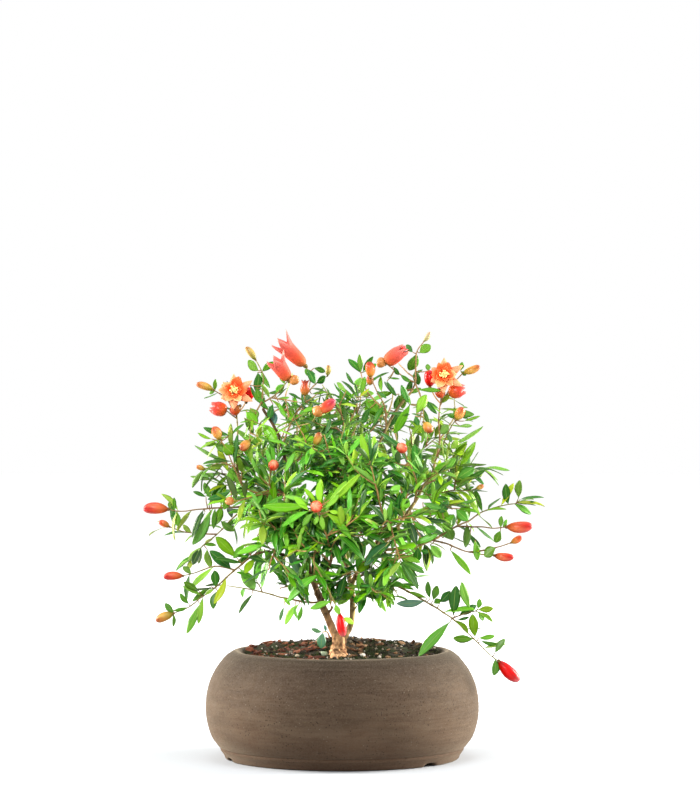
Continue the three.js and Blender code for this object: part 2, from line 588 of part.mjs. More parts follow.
function petals({ width }) {
  const sides = 4 * FLOWER.petalCount;
  const lift = FLOWER.calyxFloor + GAP;
  const profile = [
    [FLOWER.throat, lift + 0.6], [7.5, lift + 1.8 + GAP], [width / 2, lift + 4.6], [7.2, lift + 3.4],
    [FLOWER.throat, lift + 1.7], [FLOWER.throat, lift + 0.6],
  ];
  const geometry = turned(profile, sides);
  const place = geometry.attributes.position;
  for (let i = 0; i < place.count; i++) {
    const [x, y] = [place.getX(i), place.getY(i)];
    const reach = Math.hypot(x, y);
    if (reach < width / 2 - 0.1) continue;
    const wave = Math.cos(FLOWER.petalCount * Math.atan2(y, x));
    const keep = 0.9 + 0.1 * wave;
    place.setXYZ(i, x * keep, y * keep, place.getZ(i) - 0.8 * wave);
  }
  return geometry;
}

function stamens() {
  const foot = FLOWER.calyxFloor + GAP;
  const top = foot + FLOWER.stamens;
  const profile = [
    [0, foot], [FLOWER.throat - 1.6, foot], [FLOWER.throat - 0.8, foot + 2.5],
    [FLOWER.throat - 0.4, top], [2, top + 1.5], [0, top + 1.8],
  ];
  return turned(profile, 8);
}

// ---------------------------------------------------------------- the tree, put together
const COLOURS = {
  pot: { color: 0x7d6652, roughness: 0.85 },
  soil: { color: 0x2f2a1c, roughness: 1 },
  wood: { color: 0x9a7048, roughness: 0.9 },
  leaf: { color: 0x5f9a35, roughness: 0.45 },
  bud: { color: 0xd8402a, roughness: 0.4 },
  petal: { color: 0xf2602c, roughness: 0.5 },
  stamen: { color: 0xf5b942, roughness: 0.7 },
  screen: { color: 0x2a2c2e, roughness: 0.6 },
};

const group = new THREE.Group();

function put(name, solid, colours) {
  const material = new THREE.MeshStandardMaterial({ ...colours, metalness: 0 });
  const mesh = new THREE.Mesh(geometryOf(solid), material);
  mesh.name = name;
  group.add(mesh);
}

const limbEntries = Object.entries(LIMBS);
const wood = union(limbEntries.map((entry) => limbTube(entry)));
const woodHalo = union(limbEntries.map((entry) => limbTube(entry, GAP)));
const potSolid = pot();
const soilSolid = soil(woodHalo);
put("pot", potSolid, COLOURS.pot);
put("drain_screen", drainScreen(), COLOURS.screen);
put("soil", soilSolid, COLOURS.soil);
put("wood", wood, COLOURS.wood);

const shoots = Object.entries(SHOOTS).map(([name, twigs], index) => {
  const paths = twigPaths(twigs);
  return {
    name,
    twigs,
    paths,
    index,
    solid: largestBody(union(paths.map((path) => twigTube(path))).subtract(woodHalo)),
    halo: union(paths.map((path) => twigTube(path, GAP))),
  };
});
const twigHalo = union(shoots.map((shoot) => shoot.halo));

// A bud or flower stands on its stalk's end, GAP clear of it.
const seated = (geometry, { base, towards }) =>
  largestBody(solidOf(stand(geometry, base, towards)).subtract(twigHalo));

const blossoms = [];
for (const [name, place] of Object.entries(BUDS)) {
  blossoms.push({ name, solid: seated(bud(place), place), colours: COLOURS.bud });
}
for (const [name, place] of Object.entries(TRUMPETS)) {
  blossoms.push({ name, solid: seated(trumpet(place), place), colours: COLOURS.bud });
}
for (const [name, place] of Object.entries(OPEN_FLOWERS)) {
  blossoms.push({ name: `${name}_calyx`, solid: seated(calyx(), place), colours: COLOURS.bud });
  blossoms.push({ name: `${name}_petals`, solid: seated(petals(place), place), colours: COLOURS.petal });
  blossoms.push({ name: `${name}_stamens`, solid: seated(stamens(), place), colours: COLOURS.stamen });
}
for (const { name, solid, colours } of blossoms) put(name, solid, colours);

// A leaf that would touch another shoot, a bud, the wood, the soil or the pot isn't grown.
const fixed = [potSolid, soilSolid, wood, ...blossoms.map((blossom) => blossom.solid)];
for (const shoot of shoots) {
  const others = shoots.filter((other) => other !== shoot).map((other) => other.solid);
  const grown = [shoot.solid];
  shoot.twigs.forEach((twig, k) => {
    for (const place of leafPlaces(shoot.paths[k], twig.leafy, shoot.index * 7 + k)) {
      if (!insideCrown(place)) continue;
      const { base, direction, up, length } = place;
      const clearance = leaf(base, direction, up, length, LEAF.clear);
      if ([...fixed, ...others].some((solid) => touches(clearance, solid))) continue;
      grown.push(leaf(base, direction, up, length));
    }
  });
  shoot.solid = largestBody(union(grown));
}
for (const { name, solid } of shoots) put(name, solid, COLOURS.leaf);

export default group;
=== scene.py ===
"""Pomegranate bonsai in a round stoneware pot: the looks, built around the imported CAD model.

Shapes are worked out in millimetres, in the CAD model's frame, and become metres when a piece is made.
"""

import math
import random

import bpy
import numpy as np
from mathutils import Matrix, Vector, noise


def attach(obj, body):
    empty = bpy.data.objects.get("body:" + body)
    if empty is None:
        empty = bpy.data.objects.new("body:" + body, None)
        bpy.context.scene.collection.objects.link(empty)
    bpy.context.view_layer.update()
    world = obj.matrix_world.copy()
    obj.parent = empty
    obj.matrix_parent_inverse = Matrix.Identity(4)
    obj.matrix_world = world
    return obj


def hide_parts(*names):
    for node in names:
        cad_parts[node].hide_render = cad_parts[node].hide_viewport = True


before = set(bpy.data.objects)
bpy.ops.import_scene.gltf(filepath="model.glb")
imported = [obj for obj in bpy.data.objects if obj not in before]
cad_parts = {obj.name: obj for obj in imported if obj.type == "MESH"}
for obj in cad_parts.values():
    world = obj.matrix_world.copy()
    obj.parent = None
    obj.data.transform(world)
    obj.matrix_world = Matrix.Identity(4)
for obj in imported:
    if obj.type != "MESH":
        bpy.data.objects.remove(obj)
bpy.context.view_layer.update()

# ---------------------------------------------------------------- sizes, in millimetres
MM = 0.001
POT_SIDES = 300
DRAIN_RADIUS = 9.0
DRAIN_EDGE = 0.8  # how far the drain hole's edges are rounded
UNDERSIDE = 5.0
FLOOR_TOP = 15.0
# Stretches of the pot's outline, as (radius, height) points.
RING_INSIDE = [(74.0, 4.8), (75.0, 3.2), (75.7, 1.4), (76.6, 0.35), (78.4, 0.0)]
RING_OUTSIDE = [(92.2, 0.05), (93.7, 0.5), (94.6, 1.5), (95.0, 3.0), (95.9, 4.4), (97.0, 5.8), (97.9, 7.0)]
GROOVE = [(98.3, 8.0), (98.3, 8.8), (98.0, 9.3), (98.1, 9.7), (98.9, 10.0)]
BELLY = [
    (99.6, 10.4), (104.6, 17), (108.5, 28), (110, 41), (108.2, 57), (102.8, 70.5), (94, 82), (88.6, 85.9)]
LIP = [(88.6, 85.9), (86.2, 86.85), (84.2, 87.0), (82.0, 86.2), (80.5, 84.4), (80.0, 82.2), (80.0, 79.0)]
HOLLOW = [(80.0, 79.0), (84.0, 76.0), (96.0, 68.0), (101.0, 41.0), (96.0, 24.0), (83.0, 15.4)]
NOTCHES = {"count": 3, "first": 48.0, "half": 6.0, "height": 3.4}
SOIL_SIDES, SOIL_ROWS = 220, 72
SOIL_RADIUS = 79.0
SOIL_EDGE = 80.0
SOIL_SIDE = [
    (79.4, 80.5), (79.0, 78.8), (83.4, 76.0), (95.6, 67.6), (100.6, 41.0), (95.6, 24.2), (82.6, 15.5),
    (30.0, 15.5)]
SOIL_UNDER = [(29.7, 15.6), (29.0, 17.0), (0.5, 17.0)]
MOUND = {"x": 6.0, "y": 42.0, "height": 15.0, "wide": 52.0, "deep": 34.0}
BANK = {"sides": 120, "rows": 16, "inside": 50.0, "outside": 79.2, "low": 77.5, "foot": 78.5, "rise": 10.3}
TRUNK_FOOT = (-3.0, 0.0)
CHIP_COUNT, GRIT_COUNT, MOSS_BLADES = 640, 420, 16000
WOOD_VOXEL = 0.56  # how finely the limbs are joined into one body
LEAF_HALF = 0.13  # half of a leaf's thickness in its middle
PETAL_THICKNESS = 0.12
STAMENS = 40

# ---------------------------------------------------------------- camera and light, in metres
PICTURE_MIDDLE = (350, 400)
PICTURE_HEIGHT = 800
FOCAL = 3722.0  # in the picture's pixels
PIXEL = 0.806  # millimetres across, at the depth of the pot's middle
SENSOR = 36.0
CAMERA_PLACE = (0.0064, -3.0, 0.345)
CAMERA_AIM = (0.0064, 0.0, 0.289)
WARM = (1.0, 0.955, 0.87)
WHITE = (1.0, 1.0, 1.0)
# name: (place, target, size, power, colour)
AREA_LIGHTS = {
    "left_softbox": ((-1.9, 0.48, 0.68), (0, 0, 0.14), (1.0, 1.2), 150, WARM),
    "right_softbox": ((1.9, 0.48, 0.68), (0, 0, 0.14), (1.0, 1.2), 168, WARM),
    "top_softbox": ((0.1, -0.3, 2.2), (0, 0, 0.2), (1.0, 1.0), 20, WHITE),
    "catch_light": ((-0.9, -2.0, 1.5), (0, 0, 0.2), (0.35, 0.35), 8, WHITE),
}
CROWN_SPOT = {
    "place": (-0.55, -2.3, 1.15), "target": (0, 0, 0.228), "power": 365, "degrees": 10.5, "radius": 0.16}


def aimed(name, data, place, target):
    """A camera or a light at a place, looking at a target."""
    thing = bpy.data.objects.new(name, data)
    bpy.context.scene.collection.objects.link(thing)
    thing.location = place
    thing.rotation_mode = "QUATERNION"
    thing.rotation_quaternion = (Vector(target) - thing.location).to_track_quat("-Z", "Y")
    return thing


def make_camera():
    lens = bpy.data.cameras.new("camera")
    lens.sensor_width = SENSOR
    lens.lens = FOCAL / PICTURE_HEIGHT * SENSOR
    lens.clip_start = 0.05
    lens.clip_end = 50.0
    camera = aimed("camera", lens, CAMERA_PLACE, CAMERA_AIM)
    bpy.context.scene.camera = camera
    return camera


def light_studio():
    """Two warm softboxes at the sides, a weak one above, a small one in front and a spot on the crown."""
    for name, (place, target, size, power, colour) in AREA_LIGHTS.items():
        light = bpy.data.lights.new(name, "AREA")
        light.color = colour
        light.shape = "RECTANGLE"
        light.size, light.size_y = size
        light.energy = power
        aimed(name, light, place, target)
    spot = bpy.data.lights.new("crown_spot", "SPOT")
    spot.energy = CROWN_SPOT["power"]
    spot.spot_size = math.radians(CROWN_SPOT["degrees"])
    spot.spot_blend = 1.0
    spot.shadow_soft_size = CROWN_SPOT["radius"]
    aimed("crown_spot", spot, CROWN_SPOT["place"], CROWN_SPOT["target"])
    world = bpy.data.worlds.new("studio")
    world.use_nodes = True
    background = world.node_tree.nodes["Background"]
    background.inputs["Color"].default_value = (1, 1, 1, 1)
    background.inputs["Strength"].default_value = 1.0
    bpy.context.scene.world = world
    bpy.context.scene.view_settings.view_transform = "Standard"
    bpy.context.scene.view_settings.look = "None"


camera = make_camera()
light_studio()
EYE = camera.location.copy() / MM
LOOK = (Vector(CAMERA_AIM) - camera.location).normalized()
RIGHT = Vector((1, 0, 0))
UP = RIGHT.cross(LOOK)


def in_picture(point):
    """Where a point comes in the picture."""
    d = Vector(point) - EYE
    depth = d.dot(LOOK)
    return PICTURE_MIDDLE[0] + FOCAL * d.dot(RIGHT) / depth, PICTURE_MIDDLE[1] - FOCAL * d.dot(UP) / depth


def from_picture(u, v, y):
    """The point that comes at a place of the picture and lies at a depth."""
    ray = LOOK + RIGHT * ((u - PICTURE_MIDDLE[0]) / FOCAL) + UP * ((PICTURE_MIDDLE[1] - v) / FOCAL)
    return np.array(EYE + ray * ((y - EYE.y) / ray.y))


def clamp(value):
    return min(1.0, max(0.0, value))


def unit(vector):
    return np.asarray(vector, float) / np.linalg.norm(vector)


# ---------------------------------------------------------------- materials
def linear(r, g, b, dim=1.0):
    """A colour given as it looks on a screen, 0 to 255, as light; dim scales it."""
    parts = []
    for c in (r, g, b):
        c /= 255
        parts.append((c / 12.92 if c <= 0.04045 else ((c + 0.055) / 1.055) ** 2.4) * dim)
    return tuple(parts)


class Paint:
    """A node material with one Principled shader."""

    def __init__(self, name, roughness, specular):
        self.material = bpy.data.materials.new(name)
        self.material.use_nodes = True
        self.tree = self.material.node_tree
        self.shader = self.tree.nodes["Principled BSDF"]
        self.shader.inputs["Roughness"].default_value = roughness
        self.shader.inputs["Specular IOR Level"].default_value = specular
        self.place = self.add("ShaderNodeTexCoord").outputs["Object"]

    def add(self, kind, inputs=None, **settings):
        """A node with its settings, and its inputs set or linked."""
        made = self.tree.nodes.new(kind)
        for key, value in settings.items():
            setattr(made, key, value)
        for key, value in (inputs or {}).items():
            if isinstance(value, bpy.types.NodeSocket):
                self.tree.links.new(value, made.inputs[key])
            elif isinstance(value, tuple) and kind == "ShaderNodeMix":
                made.inputs[key].default_value = (*value, 1)
            else:
                made.inputs[key].default_value = value
        return made

    def link(self, output, socket):
        self.tree.links.new(output, self.shader.inputs[socket])

    def stretched(self, scale):
        return self.add("ShaderNodeMapping", {"Vector": self.place, "Scale": scale}).outputs[0]

    def noise(self, scale, detail=3.0, rough=0.5, where=None, distortion=0.0):
        inputs = {"Vector": where or self.place, "Scale": scale, "Detail": detail, "Roughness": rough,
                  "Distortion": distortion}
        return self.add("ShaderNodeTexNoise", inputs).outputs["Fac"]

    def cells(self, scale, where=None):
        """The distance to the nearest of scattered points."""
        inputs = {"Vector": where or self.place, "Scale": scale}
        return self.add("ShaderNodeTexVoronoi", inputs).outputs["Distance"]

    def ramp(self, fac, *stops):
        """stops: (place, colour) pairs, or (place, grey)."""
        made = self.add("ShaderNodeValToRGB", {"Fac": fac})
        points = made.color_ramp.elements
        while len(points) < len(stops):
            points.new(0.5)
        for point, (at, colour) in zip(points, stops):
            point.position = at
            point.color = (*colour, 1) if isinstance(colour, tuple) else (colour, colour, colour, 1)
        return made.outputs["Color"]

    def mix(self, fac, a, b, kind="MIX"):
        return self.add("ShaderNodeMix", {0: fac, 6: a, 7: b}, data_type="RGBA", blend_type=kind).outputs[2]

    def times(self, base, colour):
        return self.mix(1.0, base, colour, "MULTIPLY")

    def math(self, kind, a, b=0.5):
        return self.add("ShaderNodeMath", {0: a, 1: b}, operation=kind).outputs[0]

    def height(self):
        return self.add("ShaderNodeSeparateXYZ", {0: self.place}).outputs["Z"]

    def attribute(self, name):
        return self.add("ShaderNodeAttribute", attribute_name=name).outputs

    def bump(self, height, strength, distance):
        made = self.add("ShaderNodeBump", {"Height": height, "Strength": strength, "Distance": distance})
        self.link(made.outputs[0], "Normal")


CLAY = 0.30  # how much light the clay's colours give back


def clay(r, g, b):
    return linear(r, g, b, CLAY)


def thrown_clay(p):
    """The clay's colour: clouds, dark throwing lines and pale smears; rustier low down, with painted light
    low on the belly and painted shade up to the lip.
    """
    height = p.height()
    cloud = p.noise(16, 5, 0.6)
    streak = p.noise(1, 4, 0.6, p.stretched((7, 7, 300)))
    body = p.ramp(cloud, (0.30, clay(106, 84, 64)), (0.52, clay(118, 94, 73)), (0.72, clay(130, 106, 84)))
    body = p.mix(p.ramp(streak, (0.35, 0.0), (0.62, 0.5)), body, clay(96, 75, 57))
    smear = p.noise(1, 5, 0.65, p.stretched((26, 26, 130)), 0.6)
    body = p.mix(p.ramp(smear, (0.40, 0.0), (0.60, 0.4), (0.72, 0.6)), body, clay(150, 126, 102))
    # Painted light low on the belly and painted shade up to the lip, which the top light catches.
    painted_light_by_height = ((0.0, 1.42), (0.02, 1.24), (0.056, 0.90), (0.072, 0.68), (0.083, 0.42), (0.0862, 0.30))
    body = p.times(body, p.ramp(height, *painted_light_by_height))
    rust = p.ramp(p.noise(22, 4, 0.6, p.stretched((1, 1, 2.2))), (0.50, 0.0), (0.70, CLAY))
    low = p.ramp(height, (0.0, 1.0), (0.05, 0.25), (0.085, 0.0))
    body = p.mix(p.math("MULTIPLY", rust, low), body, clay(142, 98, 66))
    foot = p.ramp(height, (0.0, 0.75), (0.012, 0.45), (0.035, 0.0))
    return p.mix(foot, body, clay(112, 80, 60))


def with_specks(p, body):
    """Fine grain, then dark and pale specks that stand in patches."""
    fine = p.noise(900, 2, 0.6)
    body = p.mix(p.ramp(fine, (0.42, 0.0), (0.75, 0.45)), body, clay(150, 130, 110))
    dark_spots = p.ramp(p.cells(400), (0.12, 1.0), (0.26, 0.0))
    dark_where = p.ramp(p.noise(120, 2), (0.42, 0.0), (0.56, 0.8))
    body = p.mix(p.math("MULTIPLY", dark_spots, dark_where), body, clay(40, 30, 24))
    pale_spots = p.ramp(p.cells(300, p.stretched((1.0, 1.1, 0.93))), (0.06, 1.0), (0.14, 0.0))
    pale_where = p.ramp(p.noise(90, 2, 0.5, p.stretched((1.3, 0.9, 1.0))), (0.46, 0.0), (0.60, 0.75))
    return p.mix(p.math("MULTIPLY", pale_spots, pale_where), body, clay(190, 176, 156))


def stoneware():
    """Unglazed clay with throwing lines, dark and pale specks and a redder foot."""
    p = Paint("stoneware", 0.85, 0.12)
    p.shader.inputs["Sheen Weight"].default_value = 0.15
    p.shader.inputs["Sheen Tint"].default_value = (1.0, 0.84, 0.62, 1)
    p.shader.inputs["Sheen Roughness"].default_value = 0.4
    p.link(with_specks(p, thrown_clay(p)), "Base Color")
    p.link(p.ramp(p.noise(240, 3), (0.3, 0.75), (0.7, 0.95)), "Roughness")
    p.bump(p.mix(0.45, p.noise(1500, 3, 0.7), p.noise(1, 3, 0.6, p.stretched((40, 40, 700)))), 0.55, 0.0005)
    return p.material


def earth():
    """Dark crumbly soil with a green bloom in places."""
    p = Paint("earth", 0.95, 0.2)
    crumbs = p.noise(420, 5, 0.65)
    colour = p.ramp(crumbs, (0.28, linear(14, 12, 8)), (0.48, linear(34, 28, 18)), (0.62, linear(58, 46, 30)),
                    (0.78, linear(96, 76, 52)))
    green = p.ramp(p.noise(60, 4), (0.46, 0.0), (0.62, 0.8))
    p.link(p.mix(green, colour, linear(30, 42, 12)), "Base Color")
    p.bump(crumbs, 0.9, 0.0016)
    return p.material


def painted(name, roughness, specular, grain_scale, grain_strength, grain_depth, vary=0.3):
    """A surface whose colour is set point by point along the piece, with finer variation from noise."""
    p = Paint(name, roughness, specular)
    base = p.attribute("paint")["Color"]
    grain = p.noise(grain_scale, 4, 0.6)
    darker = p.times(base, (0.60, 0.5, 0.48))
    lighter = p.times(base, (1.4, 1.3, 1.25))
    shade = p.mix(p.ramp(grain, (0.30, 0.0), (0.5, 0.5), (0.7, 1.0)), darker, lighter)
    p.link(p.mix(vary, base, shade), "Base Color")
    p.bump(grain, grain_strength, grain_depth)
    return p.material


def bark():
    """Thin flaking bark: dark cracks, tan plates and pale pinkish patches where flakes have come off."""
    p = Paint("bark", 0.88, 0.15)
    base = p.attribute("paint")["Color"]
    long = p.stretched((1.0, 1.0, 0.25))
    plates = p.noise(420, 5, 0.66, long, 0.8)
    scales = p.cells(330, long)
    tone = p.ramp(plates, (0.28, (0.22, 0.18, 0.15)), (0.42, (0.66, 0.60, 0.56)), (0.54, (1.0, 0.96, 0.92)),
                  (0.68, (1.75, 1.62, 1.5)))
    colour = p.times(base, tone)
    bare = p.ramp(p.noise(150, 3, 0.5, long), (0.54, 0.0), (0.62, 0.75))
    colour = p.mix(bare, colour, p.times(base, (1.9, 1.6, 1.5)))
    cracks = p.ramp(scales, (0.02, 0.55), (0.14, 0.0))
    p.link(p.mix(cracks, colour, linear(48, 34, 26)), "Base Color")
    p.bump(p.mix(0.4, plates, scales), 1.0, 0.0014)
    return p.material


def leaf_skin():
    """Glossy leaf: a pale midrib, faint side veins, a duller and paler underside."""
    p = Paint("leaf_skin", 0.36, 0.22)
    base = p.attribute("paint")["Color"]
    spot = p.add("ShaderNodeSeparateXYZ", {0: p.attribute("leaf")["Vector"]}).outputs
    along, across, under = spot["X"], spot["Y"], spot["Z"]
    side = p.math("ABSOLUTE", across)
    slant = p.math("SUBTRACT", p.math("MULTIPLY", along, 11.0), p.math("MULTIPLY", side, 2.2))
    vein = p.math("ABSOLUTE", p.math("SUBTRACT", p.math("FRACT", slant), 0.5))
    blotch = p.noise(260, 3, 0.5)
    colour = p.mix(p.ramp(blotch, (0.3, 0.0), (0.7, 0.45)), base, p.times(base, (1.4, 1.25, 1.1)))
    colour = p.mix(p.ramp(vein, (0.0, 0.10), (0.12, 0.0)), colour, p.times(base, (1.9, 1.6, 1.5)))
    colour = p.mix(p.ramp(side, (0.02, 0.5), (0.08, 0.0)), colour, linear(150, 178, 84, 0.8))
    colour = p.mix(p.ramp(side, (0.90, 0.0), (1.0, 0.3)), colour, linear(170, 176, 80, 0.75))
    pale = p.mix(0.30, p.times(base, (1.5, 1.25, 1.4)), linear(146, 166, 96, 0.7))
    p.link(p.mix(under, colour, pale), "Base Color")
    p.link(p.ramp(under, (0.0, 0.34), (1.0, 0.55)), "Roughness")
    p.bump(p.mix(0.5, vein, blotch), 0.08, 0.0004)
    return p.material


def plastic_mesh():
    p = Paint("plastic_mesh", 0.55, 0.4)
    tone = p.noise(700, 3)
    p.link(p.ramp(tone, (0.35, (0.018, 0.019, 0.020)), (0.65, (0.035, 0.036, 0.038))), "Base Color")
    p.bump(tone, 0.2, 0.0002)
    return p.material


def floor_paint():
    """Painted shade: pale grey under the pot, where the softboxes light the floor most, and nearly white
    further out, where they light it less.
    """
    p = Paint("studio_floor", 0.9, 0.1)
    reach = p.add("ShaderNodeVectorMath", {0: p.place}, operation="LENGTH").outputs["Value"]
    tone = p.ramp(p.math("MULTIPLY", reach, 0.3), (0.05, (0.40, 0.42, 0.45)), (0.28, (0.60, 0.62, 0.66)),
                  (0.6, 0.985))
    p.link(tone, "Base Color")
    return p.material


STONEWARE = stoneware()
EARTH = earth()
BARK = bark()
LEAF = leaf_skin()
TWIG = painted("twig_bark", 0.72, 0.3, 900, 0.5, 0.0004, 0.5)
BUD = painted("bud_skin", 0.32, 0.2, 300, 0.04, 0.0002, 0.25)
PETAL = painted("petal_skin", 0.6, 0.12, 500, 0.25, 0.0004, 0.35)
STAMEN = painted("stamen_skin", 0.7, 0.3, 900, 0.3, 0.0003)
CHIP = painted("wood_chip", 0.9, 0.2, 700, 0.9, 0.0008, 0.6)
GRIT = painted("grit", 0.8, 0.3, 900, 0.7, 0.0005, 0.5)
MOSS = painted("moss", 0.9, 0.2, 600, 0.4, 0.0004, 0.5)


# ---------------------------------------------------------------- meshes
class Shape:
    """Points, faces, point colours and places on a leaf of one piece."""

    def __init__(self):
        self.points, self.faces, self.paints, self.spots = [], [], [], []
        self.count = 0

    def add(self, points, faces, paint, spots=None):
        points = np.asarray(points, float).reshape(-1, 3)
        self.points.append(points)
        self.faces += [tuple(int(i) + self.count for i in face) for face in faces]
        self.paints.append(np.broadcast_to(np.asarray(paint, float), points.shape))
        self.spots.append(np.zeros(points.shape) if spots is None else spots)
        self.count += len(points)

    def piece(self, name, material, slot, nodes=(), smooth=True):
        mesh = bpy.data.meshes.new(name)
        mesh.from_pydata((np.concatenate(self.points) * MM).tolist(), [], self.faces)
        set_paint(mesh, np.concatenate(self.paints))
        spot = mesh.attributes.new("leaf", "FLOAT_VECTOR", "POINT")
        spot.data.foreach_set("vector", np.concatenate(self.spots).ravel())
        mesh.polygons.foreach_set("use_smooth", [smooth] * len(mesh.polygons))
        mesh.update()
        return own(mesh, name, material, nodes)


def set_paint(mesh, paints):
    opaque = np.hstack([paints, np.ones((len(paints), 1))])
    mesh.color_attributes.new("paint", "FLOAT_COLOR", "POINT").data.foreach_set("color", opaque.ravel())


def own(mesh, name, material, nodes=()):
    """Makes a mesh a piece of the object, which stands for CAD nodes where it names them."""
    mesh.materials.clear()
    mesh.materials.append(material)
    thing = bpy.data.objects.new(name, mesh)
    bpy.context.scene.collection.objects.link(thing)
    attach(thing, "root")
    if nodes:
        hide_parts(*nodes)
    return thing


def grid_faces(rows, columns, ring=True):
    """Quads of a grid of points, row by row; a ring closes each row on itself."""
    faces = []
    for r in range(rows - 1):
        for c in range(columns if ring else columns - 1):
            d = (c + 1) % columns
            a = r * columns
            faces.append((a + c, a + d, a + columns + d, a + columns + c))
    return faces


def cap_faces(rows, sides):
    """Fans that close a ringed grid's first and last row with the two points that follow the grid's own."""
    first = rows * sides
    faces = []
    for c in range(sides):
        d = (c + 1) % sides
        faces.append((first, d, c))
        faces.append((first + 1, first - sides + c, first - sides + d))
    return faces


def turned_over(faces):
    return [tuple(reversed(face)) for face in faces]


def slab_faces(rows, columns):
    """A closed sheet: the grid of its top comes first, then the grid of its underside."""
    count = rows * columns
    top = grid_faces(rows, columns, False)
    edge = list(range(columns)) + [r * columns + columns - 1 for r in range(1, rows)]
    edge += [count - columns + c for c in range(columns - 2, -1, -1)]
    edge += [r * columns for r in range(rows - 2, 0, -1)]
    faces = top + [tuple(count + i for i in face) for face in turned_over(top)]
    for e, f in zip(edge, edge[1:] + edge[:1]):
        faces.append((f, e, e + count, f + count))
    return faces


def span(a, b, ta, tb, t):
    """The point at t on the straight line that is at a for ta and at b for tb."""
    return (tb - t) / (tb - ta) * a + (t - ta) / (tb - ta) * b


def curve_through(points, step):
    """Points every step or so along a smooth curve (a centripetal Catmull-Rom) through the given ones."""
    dense_steps = 24
    p = [np.asarray(q, float) for q in points]
    p = [2 * p[0] - p[1], *p, 2 * p[-1] - p[-2]]
    dense = []
    for a, b, c, d in zip(p, p[1:], p[2:], p[3:]):
        ta = 0.0
        tb = ta + max(np.linalg.norm(b - a), 1e-6) ** 0.5
        tc = tb + max(np.linalg.norm(c - b), 1e-6) ** 0.5
        td = tc + max(np.linalg.norm(d - c), 1e-6) ** 0.5
        for t in np.linspace(tb, tc, dense_steps, endpoint=False):
            ab, bc, cd = span(a, b, ta, tb, t), span(b, c, tb, tc, t), span(c, d, tc, td, t)
            dense.append(span(span(ab, bc, ta, tc, t), span(bc, cd, tb, td, t), tb, tc, t))
    dense = np.array([*dense, p[-2]])
    along = np.r_[0, np.cumsum(np.linalg.norm(np.diff(dense, axis=0), axis=1))]
    at = np.linspace(0, along[-1], max(2, int(round(along[-1] / step)) + 1))
    return np.stack([np.interp(at, along, dense[:, k]) for k in range(3)], axis=1)


def outline_through(points, step):
    """The same for an outline of (radius, height) points."""
    return curve_through([(r, z, 0) for r, z in points], step)[:, :2]


def frames_along(path):
    """Directions along a path at each of its points, and two across it that turn as little as they can."""
    along = np.gradient(path, axis=0)
    along /= np.linalg.norm(along, axis=1)[:, None]
    side = np.cross(along[0], (0.31, 0.17, 0.93))
    if np.linalg.norm(side) < 0.1:
        side = np.cross(along[0], (1, 0, 0))
    sides = []
    for d in along:
        side = unit(side - d * side.dot(d))
        sides.append(side)
    sides = np.array(sides)
    return along, sides, np.cross(along, sides)


def tube(shape, path, radii, sides, paint, flutes=None):
    """A closed tube with round ends along a path."""
    path, radii = np.asarray(path, float), np.asarray(radii, float)
    along, side, up = frames_along(path)
    first = path[0] - along[0] * radii[0] * 0.6
    last = path[-1] + along[-1] * radii[-1] * 0.6
    angle = around_circle(sides)
    ring = np.cos(angle)[None, :, None] * side[:, None] + np.sin(angle)[None, :, None] * up[:, None]
    reach = radii[:, None] * (flutes(angle, path) if flutes else 1.0) * np.ones((1, sides))
    points = path[:, None] + ring * reach[:, :, None]
    paint = np.asarray(paint, float)
    if paint.ndim == 2:
        paint = np.vstack([np.repeat(paint, sides, axis=0), paint[0], paint[-1]])
    faces = grid_faces(len(path), sides) + cap_faces(len(path), sides)
    shape.add(np.vstack([points.reshape(-1, 3), first, last]), faces, paint)


def around_circle(sides):
    return np.linspace(0, 2 * np.pi, sides, endpoint=False)


def rings_of(r, z, angle):
    return np.stack([r * np.cos(angle), r * np.sin(angle), z], axis=2)


def turned(profile, sides, wobble=None):
    """Rings of points about the Z axis for a profile of (radius, height) pairs."""
    profile = np.asarray(profile, float)
    angle = around_circle(sides)
    r = np.repeat(profile[:, :1], sides, axis=1)
    z = np.repeat(profile[:, 1:], sides, axis=1)
    if wobble:
        r, z = wobble(r, z, angle[None, :])
    return rings_of(r, z, angle)


def lumpy(point, scale, seed=0.0):
    return noise.noise(Vector(point) * scale + Vector((seed, seed * 1.7, seed * 0.3)))


def lump(shape, centre, size, paint, turn, roughness, rng, sides=7, rings=5):
    """An irregular closed stone, chip or swelling."""
    seed = rng.random() * 50
    points = []
    for k in range(1, rings):
        polar = math.pi * k / rings
        reach = math.sin(polar)
        for c in range(sides):
            around = 2 * math.pi * c / sides
            p = Vector((reach * math.cos(around), reach * math.sin(around), math.cos(polar)))
            points.append(p * (1 + roughness * lumpy(p, 1.6, seed)))
    points += [Vector((0, 0, 1 + 0.3 * roughness * lumpy((0, 0, 1), 2, seed))), Vector((0, 0, -1))]
    placed = [turn @ Vector((p.x * size[0], p.y * size[1], p.z * size[2])) + Vector(centre) for p in points]
    faces = turned_over(grid_faces(rings - 1, sides) + cap_faces(rings - 1, sides))
    shape.add([tuple(p) for p in placed], faces, paint)


def random_turn(rng, tilt=0.5):
    return (Matrix.Rotation(rng.uniform(0, 6.28), 3, "Z")
            @ Matrix.Rotation(rng.uniform(-tilt, tilt), 3, "X")
            @ Matrix.Rotation(rng.uniform(-tilt, tilt), 3, "Y"))


def make_floor():
    reach = 6  # metres
    mesh = bpy.data.meshes.new("floor")
    corners = [(-reach, -reach, 0), (reach, -reach, 0), (reach, reach, 0), (-reach, reach, 0)]
    mesh.from_pydata(corners, [], [(0, 1, 2, 3)])
    mesh.materials.append(floor_paint())
    floor = bpy.data.objects.new("floor", mesh)
    bpy.context.scene.collection.objects.link(floor)


make_floor()

# ---------------------------------------------------------------- pot
# Point colours of pieces that take none of their look from them.
CLAY_PAINT = (0.2, 0.15, 0.1)
SOIL_PAINT = (0.03, 0.025, 0.015)
RAW_WOOD = (0.3, 0.2, 0.1)


